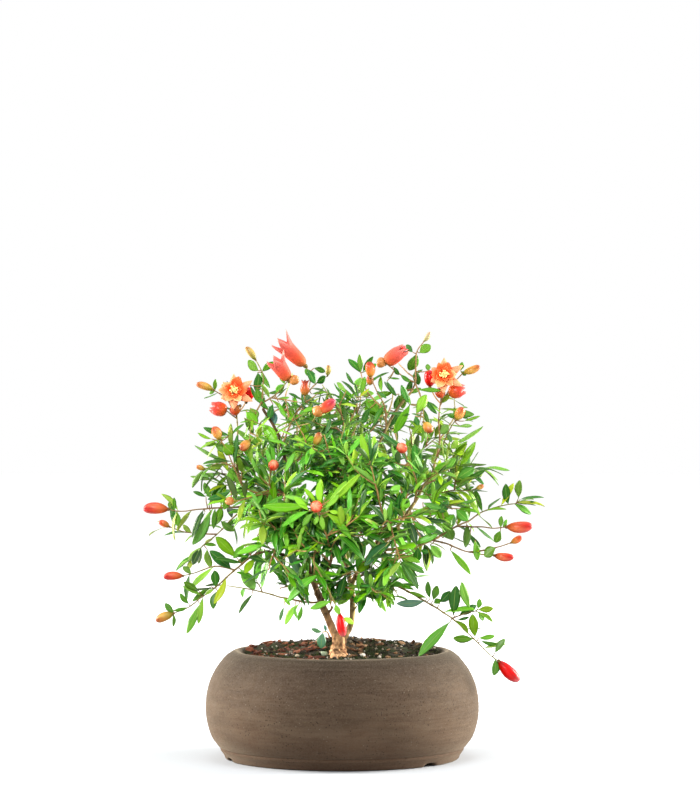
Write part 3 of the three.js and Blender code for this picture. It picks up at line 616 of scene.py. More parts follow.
def pot_profile():
    """The pot's section, from the drain hole under the foot, up the outside and back down the inside."""
    drain_foot = [(DRAIN_RADIUS, UNDERSIDE + 1), (DRAIN_RADIUS + DRAIN_EDGE, UNDERSIDE)]
    underside = [(r, UNDERSIDE) for r in (20, 34, 48, 60, 70)]
    ring = [(r, 0.0) for r in (81, 84, 87, 90)]
    belly, lip, hollow = outline_through(BELLY, 1.1), outline_through(LIP, 0.8), outline_through(HOLLOW, 3)
    floor = [(r, FLOOR_TOP) for r in (76, 62, 48, 34, 20)]
    drain_top = [(DRAIN_RADIUS + DRAIN_EDGE, FLOOR_TOP), (DRAIN_RADIUS, FLOOR_TOP - DRAIN_EDGE)]
    outside = [*drain_foot, *underside, *RING_INSIDE, *ring, *RING_OUTSIDE, *GROOVE, *belly]
    return [*outside, *lip[1:], *hollow[1:], *floor, *drain_top]


def thrown(r, z, angle):
    """Throwing lines, a slightly uneven wall and the notches in the foot."""
    outside = ((z > 9.9) & (r > 98)) | ((z > 70) & (r > 82))
    lines = 0.10 * np.sin(2 * np.pi * (z / 3.1 + angle / (2 * np.pi)) + 1.3 * np.sin(3 * angle + z / 9))
    lines += 0.07 * np.sin(2 * np.pi * z / 1.7 + 2.0 * np.sin(2 * angle + 1))
    uneven = 0.30 * np.sin(2 * angle + 0.8) + 0.16 * np.sin(3 * angle + z / 20) + 0.08 * np.sin(7 * angle)
    share = np.clip((z - 9) / 10, 0, 1)
    r = r + np.where(outside, lines * share + uneven * share, 0)
    z = z + np.where(z > 80, 0.22 * np.sin(2 * angle + 2.1) + 0.10 * np.sin(5 * angle), 0)
    return r, notched(r, z, angle)


def notched(r, z, angle):
    """Heights with the foot ring's underside lifted at each notch."""
    lift = np.zeros_like(z)
    for i in range(NOTCHES["count"]):
        middle = math.radians(NOTCHES["first"] - 90 + 360 * i / NOTCHES["count"])
        off = (angle - middle + np.pi) % (2 * np.pi) - np.pi
        away = np.abs(np.sin(off)) * r
        cut = np.clip((NOTCHES["half"] + 0.7 - away) / 1.4, 0, 1) * (np.abs(off) < 1.0)
        lift = np.maximum(lift, cut * (r > 70))
    low = (z < NOTCHES["height"] + 0.3) & (r > 73)
    return np.where(low, z + lift * (NOTCHES["height"] - z) * 0.93, z)


def make_pot():
    profile = pot_profile()
    last = (len(profile) - 1) * POT_SIDES
    round_drain = [(last + c, last + (c + 1) % POT_SIDES, (c + 1) % POT_SIDES, c) for c in range(POT_SIDES)]
    pot = Shape()
    pot.add(turned(profile, POT_SIDES, thrown), grid_faces(len(profile), POT_SIDES) + round_drain, CLAY_PAINT)
    pot.piece("stoneware_pot", STONEWARE, "stoneware", ["pot"])
    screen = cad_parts["drain_screen"]
    screen.data.materials.clear()
    screen.data.materials.append(plastic_mesh())


make_pot()

# ---------------------------------------------------------------- soil
CHIP_COLOURS = {
    "red": [(112, 62, 40), (134, 78, 54), (92, 50, 34), (150, 96, 70)],
    "tan": [(176, 138, 100), (150, 112, 78), (196, 160, 122), (120, 84, 58)],
    "dark": [(48, 34, 24), (66, 46, 32), (34, 26, 20)],
}
GRIT_COLOURS = [
    (206, 196, 176), (150, 140, 122), (104, 92, 76), (226, 220, 206), (88, 72, 54), (62, 52, 40),
    (128, 104, 80)]
MOSS_COLOURS = [(34, 48, 14), (50, 68, 20), (22, 32, 10), (76, 94, 34)]
# Pebbles that show in the photo: (x, y, size, colour)
PEBBLES = [
    (-14.5, -8, 3.4, (172, 190, 160)), (16.5, -14, 2.6, (232, 228, 216)), (30, -22, 1.8, (214, 206, 190)),
    (-36, -12, 2.0, (190, 176, 150))]


def soil_height(x, y):
    """A mound behind the trunk that runs out flat at the pot's wall."""
    reach = min(1.0, math.hypot(x, y) / SOIL_RADIUS)
    hill = math.exp(-((x - MOUND["x"]) / MOUND["wide"]) ** 2 - ((y - MOUND["y"]) / MOUND["deep"]) ** 2)
    rough = 1.5 * lumpy((x, y, 0), 0.09) + 0.9 * lumpy((x, y, 3), 0.26) + 0.35 * lumpy((x, y, 7), 0.8)
    smooth = min(1.0, (1 - reach) * 9 + 0.25)
    return SOIL_EDGE + 2.3 + (MOUND["height"] - 2.3) * hill * (1 - reach ** 4) + rough * smooth


def bank_height(x, y):
    """Soil heaped against the back of the lip."""
    around = math.degrees(math.atan2(y, x))
    around = around + 360 if around < -90 else around
    in_from_ends = clamp(min(around + 2, 182 - around) / 16)
    out = clamp((math.hypot(x, y) - 52) / 22)
    rise = (out * out * (3 - 2 * out)) * (in_from_ends * in_from_ends * (3 - 2 * in_from_ends))
    rough = 1.1 * lumpy((x, y, 5), 0.12) + 0.6 * lumpy((x, y, 9), 0.4)
    return BANK["foot"] + BANK["rise"] * rise + rough * rise


def ground(x, y):
    return max(soil_height(x, y), bank_height(x, y))


def disc(radii, angles, height):
    """Rows of points round the pot's axis, with the height that a function gives."""
    rows = [[(radius * math.cos(a), radius * math.sin(a)) for a in angles] for radius in radii]
    return np.array([[(x, y, height(x, y)) for x, y in row] for row in rows])


def make_bank():
    rows = BANK["rows"]
    wide = BANK["outside"] - BANK["inside"]
    radii = [BANK["inside"] + wide * k / (rows - 1) for k in range(rows)]
    top = disc(radii, np.linspace(-0.05, math.pi + 0.05, BANK["sides"]), bank_height)
    low = top.copy()
    low[..., 2] = BANK["low"]
    bank = Shape()
    bank.add(np.concatenate([top, low]), turned_over(slab_faces(rows, BANK["sides"])), SOIL_PAINT)
    bank.piece("soil_bank", EARTH, "soil")


def make_soil():
    radii = [0.4 + (SOIL_RADIUS - 0.4) * k / (SOIL_ROWS - 1) for k in range(SOIL_ROWS)]
    top = disc(radii, around_circle(SOIL_SIDES), soil_height)
    body = np.concatenate([top, turned(SOIL_SIDE, SOIL_SIDES), turned(SOIL_UNDER, SOIL_SIDES)])
    last = (len(body) - 1) * SOIL_SIDES
    faces = turned_over(grid_faces(len(body), SOIL_SIDES))
    faces.append(tuple(range(SOIL_SIDES)))
    faces.append(tuple(last + c for c in reversed(range(SOIL_SIDES))))
    soil = Shape()
    soil.add(body, faces, SOIL_PAINT)
    soil.piece("potting_soil", EARTH, "soil", ["soil"])


def somewhere(rng, reach):
    """A random place on the soil, out to a share of its radius."""
    radius = SOIL_RADIUS * reach * math.sqrt(rng.random())
    around = rng.uniform(0, 2 * math.pi)
    return radius * math.cos(around), radius * math.sin(around)


def from_trunk(x, y, forward=1.0):
    """How far a place is from the trunk's foot; forward shortens the way to places in front of it."""
    return math.hypot(x - TRUNK_FOOT[0], forward * y if y < 0 else y)


def make_chips(rng):
    """Bark chips: red ones at the left, tan ones at the right and dark ones everywhere."""
    chips = Shape()
    for _ in range(CHIP_COUNT):
        x, y = somewhere(rng, 0.97)
        if from_trunk(x, y, 0.6) < 12:
            continue
        beside = math.hypot(x, y) < 30 or y > 30
        kind = "red" if x < -14 and rng.random() < (0.75 if y > 10 else 0.4) else "dark"
        kind = "tan" if x > 2 and rng.random() < (0.55 if beside else 0.08) else kind
        long = rng.uniform(1.2, 3.2) if kind == "dark" else rng.uniform(1.6, 4.6)
        size = (long, long * rng.uniform(0.35, 0.7), long * rng.uniform(0.18, 0.42))
        paint = linear(*rng.choice(CHIP_COLOURS[kind]), 0.5)
        lump(chips, (x, y, ground(x, y) + size[2] * 0.35), size, paint, random_turn(rng), 0.9, rng, 6, 4)
    chips.piece("bark_chips", CHIP, "soil", smooth=False)


def make_grit(rng):
    grit = Shape()
    for _ in range(GRIT_COUNT):
        x, y = somewhere(rng, 0.98)
        if from_trunk(x, y) < 11:
            continue
        size = rng.uniform(0.45, 1.5)
        paint = linear(*rng.choice(GRIT_COLOURS), 0.42)
        lump(grit, (x, y, ground(x, y) + size * 0.3), (size, size * 0.85, size * 0.7), paint,
             random_turn(rng, 1.5), 0.5, rng, 6, 4)
    for x, y, size, colour in PEBBLES:
        lump(grit, (x, y, ground(x, y) + size * 0.4), (size, size * 0.8, size * 0.7),
             linear(*colour, 0.65), random_turn(rng, 0.4), 0.35, rng, 10, 7)
    grit.piece("grit_and_pebbles", GRIT, "soil")


def make_moss(rng):
    """Short blades in patches; each is a thin pyramid that leans."""
    moss = Shape()
    blades = 0
    while blades < MOSS_BLADES:
        x, y = somewhere(rng, 0.985)
        patch = lumpy((x, y, 0), 0.055, 4.0) + 0.25 * lumpy((x, y, 0), 0.3, 9.0)
        if patch < (-0.10 if x < -14 else -0.22) or from_trunk(x, y, 0.5) < (12 if y < 0 else 9.5):
            continue
        tall = rng.uniform(0.9, 2.4) * min(1.0, 0.5 + patch * 2.5)
        wide = rng.uniform(0.16, 0.30)
        lean = (rng.uniform(-0.7, 0.7), rng.uniform(-0.7, 0.7))
        z = ground(x, y) - 0.3
        turns = [a + blades for a in (0, 2.1, 4.2)]
        corners = [(x + wide * math.cos(a), y + wide * math.sin(a), z) for a in turns]
        corners.append((x + lean[0] * tall, y + lean[1] * tall, z + 0.3 + tall))
        paint = linear(*rng.choice(MOSS_COLOURS), 0.56 if x < 0 else 0.40)
        moss.add(corners, [(0, 2, 1), (0, 1, 3), (1, 2, 3), (2, 0, 3)], paint)
        blades += 1
    moss.piece("moss", MOSS, "soil", smooth=False)


# One source of chance for what lies on the soil and for the knots on the wood.
scatter = random.Random(11)
make_bank()
make_soil()
make_chips(scatter)
make_grit(scatter)
make_moss(scatter)

# ---------------------------------------------------------------- wood
# name: (radius at the start, radius at the end, points)
LIMBS = {
    "trunk": (11.5, 4.4, [(-3.4, 0, 68), (-3.2, 0, 80), (-2.6, 0, 90), (-1.8, 0, 99)]),
    "left_stem": (4.3, 1.2, [
        (-2, 0, 91), (-11.5, 1, 113), (-17, 2, 126), (-24, 4, 145), (-31, 6, 165), (-38, 6, 190),
        (-43, 5, 215), (-46, 4, 240), (-51, 3, 260), (-64, 0, 282)]),
    "right_stem": (3.4, 1.1, [
        (-1, 0, 92), (7, 2, 108), (8.5, 3, 123), (8, 3, 140), (16, 2, 154), (24, 1, 166), (35.5, 0, 176),
        (44, -1, 186), (54, -2, 200), (60, -3, 209), (65, -3, 219), (72, -4, 229), (75, -4, 240)]),
    "leader": (2.3, 1.2, [(8, 3, 131), (5, 10, 150), (0, 16, 172), (4, 18, 195), (9, 16, 216), (6, 14, 250)]),
    "upper_right_limb": (1.6, 1.1, [(9, 16, 214), (22, 10, 240), (32, 6, 258), (42, 4, 278), (57, 2, 297)]),
    "left_lateral": (1.7, 1.1, [(-28, 5, 156), (-45, -8, 164), (-60, -14, 168)]),
    "right_lateral": (1.7, 1.0, [
        (22, 1, 163), (33, -4, 168), (49, -8, 169.5), (63, -10, 172.7), (78, -11, 179)]),
    "back_left": (1.8, 1.1, [(-30, 6, 162), (-38, 30, 180), (-48, 52, 196)]),
    "back_right": (1.8, 1.1, [(23, 1, 165), (34, 28, 184), (46, 52, 202)]),
    "front_left": (1.7, 1.1, [(-16, 2, 124), (-14, -22, 144), (-8, -44, 164)]),
    "front_right": (1.7, 1.1, [(15, 2, 152), (26, -24, 170), (32, -46, 188)]),
}
ROOTS = [
    (3.4, 1.2, [(-5, 0, 83), (-11, -3, 80), (-18, -5, 77.4), (-25, -9, 75)]),
    (3.2, 1.0, [(0, -2, 83), (8, -6, 80), (16, -9, 77.4), (22, -15, 75)]),
    (4.0, 1.2, [(-2, 3, 86), (0, 12, 86), (3, 22, 87), (2, 30, 87)]),
    (2.8, 0.9, [(-5, -3, 82), (-8, -9, 79.5), (-9, -16, 77.5), (-14, -21, 76)]),
    (2.8, 0.9, [(1, 3, 85), (8, 8, 83), (17, 11, 82.5), (24, 12, 82)]),
    (2.8, 0.9, [(-7, 3, 84), (-13, 8, 82), (-21, 10, 81), (-27, 16, 81)]),
    (8.0, 2.5, [(-3, -5, 82), (-3, -12, ground(-3, -12) - 3.0), (-5, -22, ground(-5, -22) - 1.5),
                (-7, -36, ground(-7, -36) - 1.5)]),
]
# Swellings where twigs once grew: (place, radius)
KNOTS = [
    ((-20.5, 1.2, 133), 2.3), ((8.6, 1.8, 130), 2.4), ((-13.5, -1.2, 118), 2.4), ((21, -0.6, 161), 1.9),
    ((-5.5, -4, 96), 3.0), ((3, 2.5, 101), 2.6)]
# Small cut-off stubs: (radius, points)
STUBS = [
    (1.5, [(-15, 0, 118.5), (-12, -1, 117), (-9.5, -1.5, 119), (-7.6, -2, 122.5)]),
    (1.0, [(7, 2, 118), (10, 0, 120), (12, -1, 123)])]
TAPER = {"trunk": 0.9, "left_stem": 0.45, "right_stem": 0.5, "leader": 0.6}
FORK_SMOOTHING = 14  # passes
DARK_BARK, TAN_BARK, PALE_BARK = (
    np.array(linear(*c, 0.68)) for c in ((98, 70, 48), (182, 144, 102), (202, 166, 128)))
# Painted shade and painted light for the right stem's two sides, and the left stem's green.
SHADY_SIDE, SUNNY_SIDE, GREEN_STEM = (
    np.array(linear(*c, 0.72)) for c in ((70, 50, 32), (196, 184, 122), (106, 84, 56)))
limb_paths = {name: curve_through(points, 2.0) for name, (_, _, points) in LIMBS.items()}


def knobbly(angle, path):
    """Flutes that run down into the roots, strongest at the trunk's foot."""
    foot = np.clip((104 - path[:, 2:]) / 28, 0, 1)
    a = angle[None, :]
    turn = path[:, 2:] / 30
    flutes = 0.13 * np.sin(3 * a + 1.1 + turn) + 0.07 * np.sin(5 * a + turn * 2)
    uneven = 0.05 * np.sin(2 * a + path[:, 2:] / 6)
    return 1 + foot * flutes + uneven + 0.035 * np.sin(3 * a - path[:, 2:] / 3.1)


def rough_wood(rng):
    """Limbs, roots, knots and stubs that run into each other."""
    wood = Shape()
    for name, (start, end, _) in LIMBS.items():
        path = limb_paths[name]
        share = np.linspace(0, 1, len(path))
        radii = start + (end - start) * share ** TAPER.get(name, 0.85)
        swellings = 1 + 0.05 * np.sin(share * len(path) * 0.9) + 0.04 * np.sin(share * len(path) * 0.37 + 2)
        tube(wood, path, radii * swellings, 16, RAW_WOOD, knobbly)
    for start, end, points in ROOTS:
        path = curve_through(points, 2.0)
        tube(wood, path, np.linspace(start, end, len(path)), 12, RAW_WOOD, knobbly)
    for place, size in KNOTS:
        lump(wood, place, (size, size, size * 1.2), RAW_WOOD, Matrix.Identity(3), 0.4, rng, 10, 8)
    for radius, points in STUBS:
        path = curve_through(points, 1.0)
        tube(wood, path, np.linspace(radius, radius * 0.7, len(path)), 10, RAW_WOOD)
    return wood.piece("rough_wood", BARK, "bark")


def grown_together(rough):
    """The mesh of a piece as one closed body; the piece itself goes."""
    remesh = rough.modifiers.new("one_body", "REMESH")
    remesh.mode = "VOXEL"
    remesh.voxel_size = WOOD_VOXEL * MM
    mesh = bpy.data.meshes.new_from_object(rough.evaluated_get(bpy.context.evaluated_depsgraph_get()))
    bpy.data.objects.remove(rough)
    return mesh


def values_of(data, name, kind=np.float32, columns=3):
    """The values of a mesh's points or edges, one row each."""
    found = np.empty(len(data) * columns, kind)
    data.foreach_get(name, found)
    return found.reshape(-1, columns)


def fork_smoothed(co, links):
    """Evens out the wood where limbs meet, most around the fork."""
    around_each = np.maximum(1, np.bincount(links.ravel(), minlength=len(co)))[:, None]
    for _ in range(FORK_SMOOTHING):
        total = np.zeros_like(co)
        np.add.at(total, links[:, 0], co[links[:, 1]])
        np.add.at(total, links[:, 1], co[links[:, 0]])
        share = np.interp(co[:, 2], (80, 88, 108, 122), (0.0, 0.8, 0.8, 0.1))[:, None]
        co = co + (total / around_each - co) * share
    return co


def bark_relief(x, y, z):
    """How far the bark stands out at a point, how thick its flake is, and how pale its patch."""
    thick = min(1.0, max(0.22, (120 - z) / 40))
    low_down = clamp((100 - z) / 14)
    flake = noise.noise(Vector((x * 0.45, y * 0.45, z * 0.13)))
    fine = noise.noise(Vector((x * 1.3, y * 1.3, z * 0.45)))
    wrinkle = math.sin(z * 1.5 + 4.0 * flake + 0.3 * x + 2.0 * fine) * low_down
    out = (0.7 * flake + 0.3 * fine) * thick + 0.3 * wrinkle + 0.4 * fine * low_down
    patch = 0.42 + 1.5 * noise.noise(Vector((x * 0.24, y * 0.24, z * 0.12)))
    return out, flake, patch + 0.3 * wrinkle + 0.8 * fine * low_down


def bark_tone(x, z, flake, patch, facing):
    """Flaky brown low down; higher up, painted light and painted shade on the right stem's two sides, and
    greenish on the left stem.
    """
    tone = DARK_BARK + (TAN_BARK - DARK_BARK) * clamp(patch * 1.5)
    tone = tone + (PALE_BARK - tone) * clamp(patch * 2.0 - 1.1) * clamp((112 - z) / 30)
    green = clamp((z - 96 - 8 * flake) / 22)
    # Painted light on the side that faces the right softbox, painted shade on the side away from it.
    if x > 2 - max(0, z - 130) * 0.3:
        side = clamp(0.72 + 0.9 * facing)
        tone = tone + (SHADY_SIDE + (SUNNY_SIDE - SHADY_SIDE) * side - tone) * green * 0.75
        return tone * (1 - 0.42 * clamp((z - 190) / 50))
    return tone + (GREEN_STEM * (1 - 0.45 * clamp((z - 112) / 14)) - tone) * green * 0.9


def make_wood(rng):
    wood = grown_together(rough_wood(rng))
    normal = values_of(wood.vertex_normals, "vector")
    co = fork_smoothed(values_of(wood.vertices, "co") / MM, values_of(wood.edges, "vertices", np.int32, 2))
    paints = np.empty(co.shape)
    for i, (x, y, z) in enumerate(co):
        out, flake, patch = bark_relief(x, y, z)
        co[i] += normal[i] * out
        paints[i] = bark_tone(x, z, flake, patch, normal[i][0])
    wood.vertices.foreach_set("co", (co * MM).ravel())
    for old in list(wood.color_attributes):
        wood.color_attributes.remove(old)
    set_paint(wood, paints)
    wood.polygons.foreach_set("use_smooth", [True] * len(wood.polygons))
    own(wood, "trunk_and_limbs", BARK, ["wood"])


make_wood(scatter)

# ---------------------------------------------------------------- shoots
# name: twigs, each (share of the twig where leaves begin, points). The first starts on a limb, the rest on
# an earlier twig of the shoot.
SHOOTS = {
    "shoot_low_left": [
        (0.1, [(-17, 2, 126), (-26, -6, 126), (-49, -14, 131), (-69, -18, 136.5), (-92, -20, 140.5)])],
    "shoot_left_lower": [
        (0.05, [(-60, -14, 168), (-71, -22, 165), (-85, -28, 154), (-100, -30, 141), (-112, -30, 132),
                (-122.5, -30, 124), (-134.6, -30, 119)]),
        (0.35, [(-85, -28, 154), (-100, -20, 156), (-120, -12, 149.8), (-128, -8, 147.6)])],
    "shoot_left_middle": [
        (0.1, [(-40, 5, 200), (-60, 10, 205), (-81, 18, 199), (-92, 24, 189), (-102, 28, 179),
               (-114.5, 32, 168.6), (-119, 33, 161.5)]),
        (0.4, [(-102, 28, 179), (-118, 34, 179.3), (-129, 38, 180.6), (-141, 40, 184.5)]),
        (0.2, [(-70, 13, 203), (-91, -4, 202.5), (-107.5, -12, 202), (-131.4, -13, 200),
               (-139.4, -13, 201.5)])],
    "shoot_left_upper": [
        (0.1, [(-43, 5, 215), (-62, -8, 212.6), (-79, -20, 220.3), (-85, -28, 232.8), (-92, -34, 250),
               (-97, -37, 258.3)]),
        (0.3, [(-86, -29, 236), (-98, -22, 239), (-110, -16, 233.5)]),
        (0.2, [(-80, -21, 222), (-85, -12, 240), (-84, -2, 257), (-85, 6, 275), (-87, 12, 292)]),
        (0.4, [(-85, 6, 276), (-94, 14, 290), (-104, 10, 297)]),
        (1, [(-85, 6, 273), (-88, 7, 276), (-93, 6, 280)])],
    "shoot_left_top": [
        (0.3, [(-63, 0, 280.5), (-64.5, 1, 288), (-64, 8, 299.7), (-64.5, 14, 310.5), (-70, 18, 321)]),
        (0.2, [(-64.5, 1, 288), (-70, -12, 276.5), (-73, -20, 266.8), (-74, -24, 257)]),
        (0.2, [(-64.5, 1, 287), (-52, -8, 294.5), (-43, -14, 305.5)])],
    "shoot_top_left": [
        (0.1, [(-48, 4, 252), (-42, -4, 268.3), (-37.4, -6, 277.5), (-30.6, -8, 287.5), (-30, -9, 292.5)]),
        (0.3, [(-43, -3, 264), (-33, -18, 268.8), (-24, -28, 272.3), (-19.3, -34, 279.6)]),
        (0.3, [(-37.4, -6, 277.5), (-28, 10, 294), (-26, 14, 309.5), (-30.5, 14, 317)]),
        (0.3, [(-28, 10, 294), (-20, 22, 303), (-12, 28, 308)]),
        (0.3, [(-42, -4, 268), (-44, 16, 280), (-46, 34, 292), (-42, 46, 304)])],
    "shoot_centre_left": [
        (0.1, [(-41, 5, 207), (-54, -12, 214), (-58, -24, 222.5), (-56, -32, 235)]),
        (0.2, [(-48, -4, 210.5), (-36, -20, 226.5), (-26, -28, 241), (-22, -32, 253)]),
        (0.2, [(-54, -12, 214), (-68, -34, 213.6), (-80, -48, 210.3), (-87, -56, 209.6)])],
    "shoot_front_centre": [
        (0.1, [(-8, -44, 164), (-12, -58, 182), (-18, -68, 198), (-20, -75, 206)]),
        (0.2, [(-12, -58, 182), (2, -70, 190), (14, -82, 200)]),
        (0.2, [(-10, -50, 172), (2, -48, 192), (6, -46, 210)])],
    "shoot_hanging_front": [
        (0.1, [(-10, -40, 160), (-20, -50, 170), (-22, -56, 162), (-14, -57, 146), (-8, -56, 134.5),
               (-2, -55, 121)]),
        (0.2, [(-20, -50, 170), (-34, -66, 172), (-46, -80, 166)])],
    "shoot_low_right": [
        (0.1, [(9, 3, 143), (20, -4, 149), (33, -8, 145.5), (44, -12, 140), (55, -14, 134.5),
               (69, -16, 126.5), (87.6, -18, 114.5), (104.5, -20, 99), (120, -21, 84), (125.7, -21, 80)]),
        (0.3, [(88, -18, 114), (98, -22, 118), (107, -24, 120.5)])],
    "shoot_right_lower": [
        (0.05, [(77, -11, 178.6), (92, -2, 187), (103, 6, 191.6), (113.6, 12, 198), (133, 16, 203.7),
                (141, 18, 204.6)]),
        (0.4, [(92, -2, 187), (105, -14, 187.5), (122.5, -24, 187), (131.4, -28, 188)])],
    "shoot_right_drooping": [
        (0.15, [(72, -11, 176.2), (85, -24, 174), (101, -34, 168.4), (113, -38, 166.5), (121, -40, 166)]),
        (0.3, [(101, -34, 168.4), (113, -44, 170.2), (125.7, -50, 173.7), (134, -52, 176.7)])],
    "shoot_right_upper": [
        (0.1, [(75, -4, 240), (80.6, -14, 253), (87, -22, 267.4), (91, -26, 273.6)]),
        (0.2, [(76, -5, 243), (79, 6, 257), (78, 10, 272), (80, 13, 290), (81.5, 14, 305)]),
        (0.4, [(79, 12, 284), (90, 20, 302), (98, 20, 310.5)]),
        (1, [(79, 11, 286), (82, 9, 291), (86, 8, 294.5)]),
        (0.3, [(79, 6, 257), (86, 26, 266), (92, 42, 276), (92, 54, 288)])],
    "shoot_right_top": [
        (0.2, [(56.3, 2, 296), (59, 3, 303), (59.5, 6, 313.5), (60.5, 8, 328), (66, 8, 336)]),
        (0.3, [(59, 3, 303), (63, -10, 292.3), (65, -18, 281.6), (65.3, -22, 271.5)]),
        (0.2, [(59, 3, 302), (47, -8, 309.4), (35, -14, 319)]),
        (0.3, [(59, 4, 306), (52, 22, 312), (46, 38, 318)])],
    "shoot_top_right": [
        (0.1, [(36, 5, 266), (34, -4, 284.5), (28, -12, 296), (23, -18, 307.3)]),
        (0.3, [(34, -2, 281), (20, 14, 296), (14, 22, 315)]),
        (0.3, [(35, 1, 275), (40, 24, 286), (42, 44, 298)])],
    "shoot_centre_right": [
        (0.1, [(58, -3, 206), (60, -18, 222.3), (55, -28, 236.6), (49, -34, 249)]),
        (0.2, [(59, -8, 211), (78, -18, 214.7), (90, -22, 217.3), (101, -24, 217), (107, -25, 218.5)]),
        (0.2, [(90, -22, 217.3), (91, -28, 233.2), (89, -34, 245.8)]),
        (0.3, [(60, -18, 222.3), (70, -40, 228), (76, -58, 232)])],
    "shoot_centre_top": [
        (0.1, [(6, 14, 249), (2, -2, 266), (-2, -16, 286)]),
        (0.2, [(5, 11, 253), (12, 26, 270), (12, 40, 290)]),
        (0.2, [(4, 5, 258), (-10, 24, 272), (-18, 40, 284)])],
    "shoot_inner_front": [
        (0.15, [(5, 17, 203), (6, -8, 218), (8, -30, 232), (6, -50, 244)]),
        (0.2, [(6, -8, 218), (22, -24, 226), (36, -38, 234)]),
        (0.2, [(7, -20, 226), (-8, -36, 242), (-14, -46, 262)])],
    "shoot_inner_back": [
        (0.15, [(8, 15, 232), (8, 34, 246), (10, 52, 262), (8, 62, 278)]),
        (0.2, [(8, 34, 246), (-10, 50, 254), (-24, 62, 258)]),
        (0.2, [(8, 40, 252), (24, 46, 264), (34, 52, 278)])],
    "shoot_back_left": [
        (0.1, [(-48, 52, 196), (-62, 70, 208), (-78, 84, 214), (-90, 94, 212)]),
        (0.2, [(-52, 57, 200), (-52, 66, 222), (-52, 72, 246), (-46, 74, 268)]),
        (0.2, [(-55, 61, 203), (-60, 74, 180), (-68, 90, 164)]),
        (0.3, [(-52, 66, 222), (-66, 62, 240), (-78, 56, 254)])],
    "shoot_back_right": [
        (0.1, [(46, 52, 202), (60, 70, 214), (76, 84, 220), (88, 92, 218)]),
        (0.2, [(50, 57, 206), (46, 66, 228), (46, 76, 250), (40, 82, 272)]),
        (0.2, [(53, 61, 209), (60, 76, 184), (68, 90, 168)]),
        (0.3, [(46, 66, 228), (62, 60, 244), (76, 54, 256)])],
    "shoot_back_centre": [
        (0.1, [(0, 16, 173), (0, 36, 190), (-2, 58, 204), (0, 80, 212), (2, 97, 214)]),
        (0.2, [(0, 40, 193), (-4, 56, 222), (-6, 70, 242)]),
        (0.3, [(-2, 58, 204), (4, 74, 186), (6, 90, 166)])],
    "shoot_front_right": [
        (0.1, [(32, -46, 188), (44, -62, 196), (56, -76, 198)]),
        (0.2, [(36, -51, 191), (30, -60, 208), (26, -68, 226), (22, -72, 242)]),
        (0.2, [(38, -54, 192.5), (42, -66, 178), (46, -80, 164)]),
        (0.3, [(46, -64, 196), (64, -66, 204), (80, -66, 207)])],
    "shoot_front_left": [
        (0.2, [(-31, 6, 166), (-42, -20, 178), (-54, -44, 188), (-62, -62, 192)]),
        (0.2, [(-50, -36, 185), (-46, -50, 204), (-44, -60, 222)]),
        (0.2, [(-46, -28, 181), (-54, -48, 168), (-58, -66, 156)])],
    "shoot_low_centre": [
        (0.2, [(8.5, 3, 126), (18, -14, 136), (28, -34, 138), (34, -52, 134)]),
        (0.3, [(18, -14, 136), (30, -20, 154), (40, -30, 158)])],
}
# Shoots that stand alone at the edge of the picture, where each leaf is placed one by one below.
OPEN_SHOOTS = {
    "shoot_low_left", "shoot_left_lower", "shoot_left_middle", "shoot_left_upper", "shoot_low_right",
    "shoot_right_lower", "shoot_right_drooping", "shoot_right_upper", "shoot_right_top", "shoot_left_top",
    "shoot_top_left", "shoot_top_right", "shoot_hanging_front",
}
BARE_SHOOTS = {
    "shoot_low_left", "shoot_left_lower", "shoot_low_right", "shoot_right_drooping", "shoot_hanging_front"}
SHADES = {
    "deep": (24, 78, 22), "dark": (40, 114, 24), "mid": (78, 158, 30), "light": (96, 168, 44),
    "lime": (114, 182, 42), "blue": (72, 126, 82),
}
SHADE_DIM = 0.88
# How leaves grow on shoots that stand alone and on dense ones; twiglets: spacing and chance of side twigs.
OPEN_GROWTH = {"spacing": 9.5, "density": 0.5, "sizes": (18, 28), "twiglets": (13, 0.6)}
DENSE_GROWTH = {"spacing": 6.6, "density": 0.9, "sizes": (19, 32), "twiglets": (10.5, 0.85)}
BARE_DENSITY = 0.15
# Heights in the crown where the leaves that grow change: larger, straying, smaller, high up, none.
LARGE_UNDER, STRAY_OVER, SMALL_OVER, HIGH_OVER, NONE_OVER = 205, 235, 258, 262, 296
SHADE_NAMES = ["deep", "dark", "mid", "light", "lime"]
# How often each of these shades grows in a part of the crown; the darker mixes inside and high up are partly
# the leaves' own variety and partly painted shade.
SHADE_MIX = {
    "inner": [0.26, 0.30, 0.26, 0.10, 0.08], "middle": [0.18, 0.28, 0.31, 0.14, 0.09],
    "outer": [0.12, 0.26, 0.36, 0.18, 0.08], "high": [0.24, 0.36, 0.28, 0.10, 0.02],
}
# Twigs that fill the middle of the crown. Each one starts on a limb.
FILL_TWIGS = {
    "shoot_low_centre": [
        [(-20, 3, 135), (-16, -12, 140), (-6, -24, 142), (4, -34, 140)],
        [(-24, 4, 146), (-30, -14, 150), (-36, -30, 148), (-40, -42, 142)],
        [(12, 3, 146), (14, -10, 150), (8, -24, 152), (0, -34, 150)]],
    "shoot_inner_front": [
        [(4, 18, 186), (-4, 0, 186), (-8, -22, 184), (-8, -40, 178)],
        [(-36, 6, 182), (-30, -10, 186), (-26, -30, 184), (-28, -46, 178)],
        [(30, 1, 171), (28, -14, 178), (20, -30, 182), (10, -42, 180)]],
    "shoot_centre_left": [
        [(-38, 6, 192), (-44, -12, 196), (-46, -32, 192), (-44, -50, 186)],
        [(-45, 4, 232), (-36, -8, 240), (-26, -14, 246), (-14, -18, 248)],
        [(-42, 5, 210), (-62, 0, 222), (-82, -4, 228), (-98, -6, 230)]],
    "shoot_centre_right": [
        [(48, -2, 192), (46, -18, 196), (44, -36, 192), (44, -52, 186)],
        [(22, 10, 240), (12, -4, 246), (2, -16, 248), (-6, -26, 246)],
        [(66, -3, 221), (84, 4, 228), (100, 8, 232), (112, 8, 234)]],
}
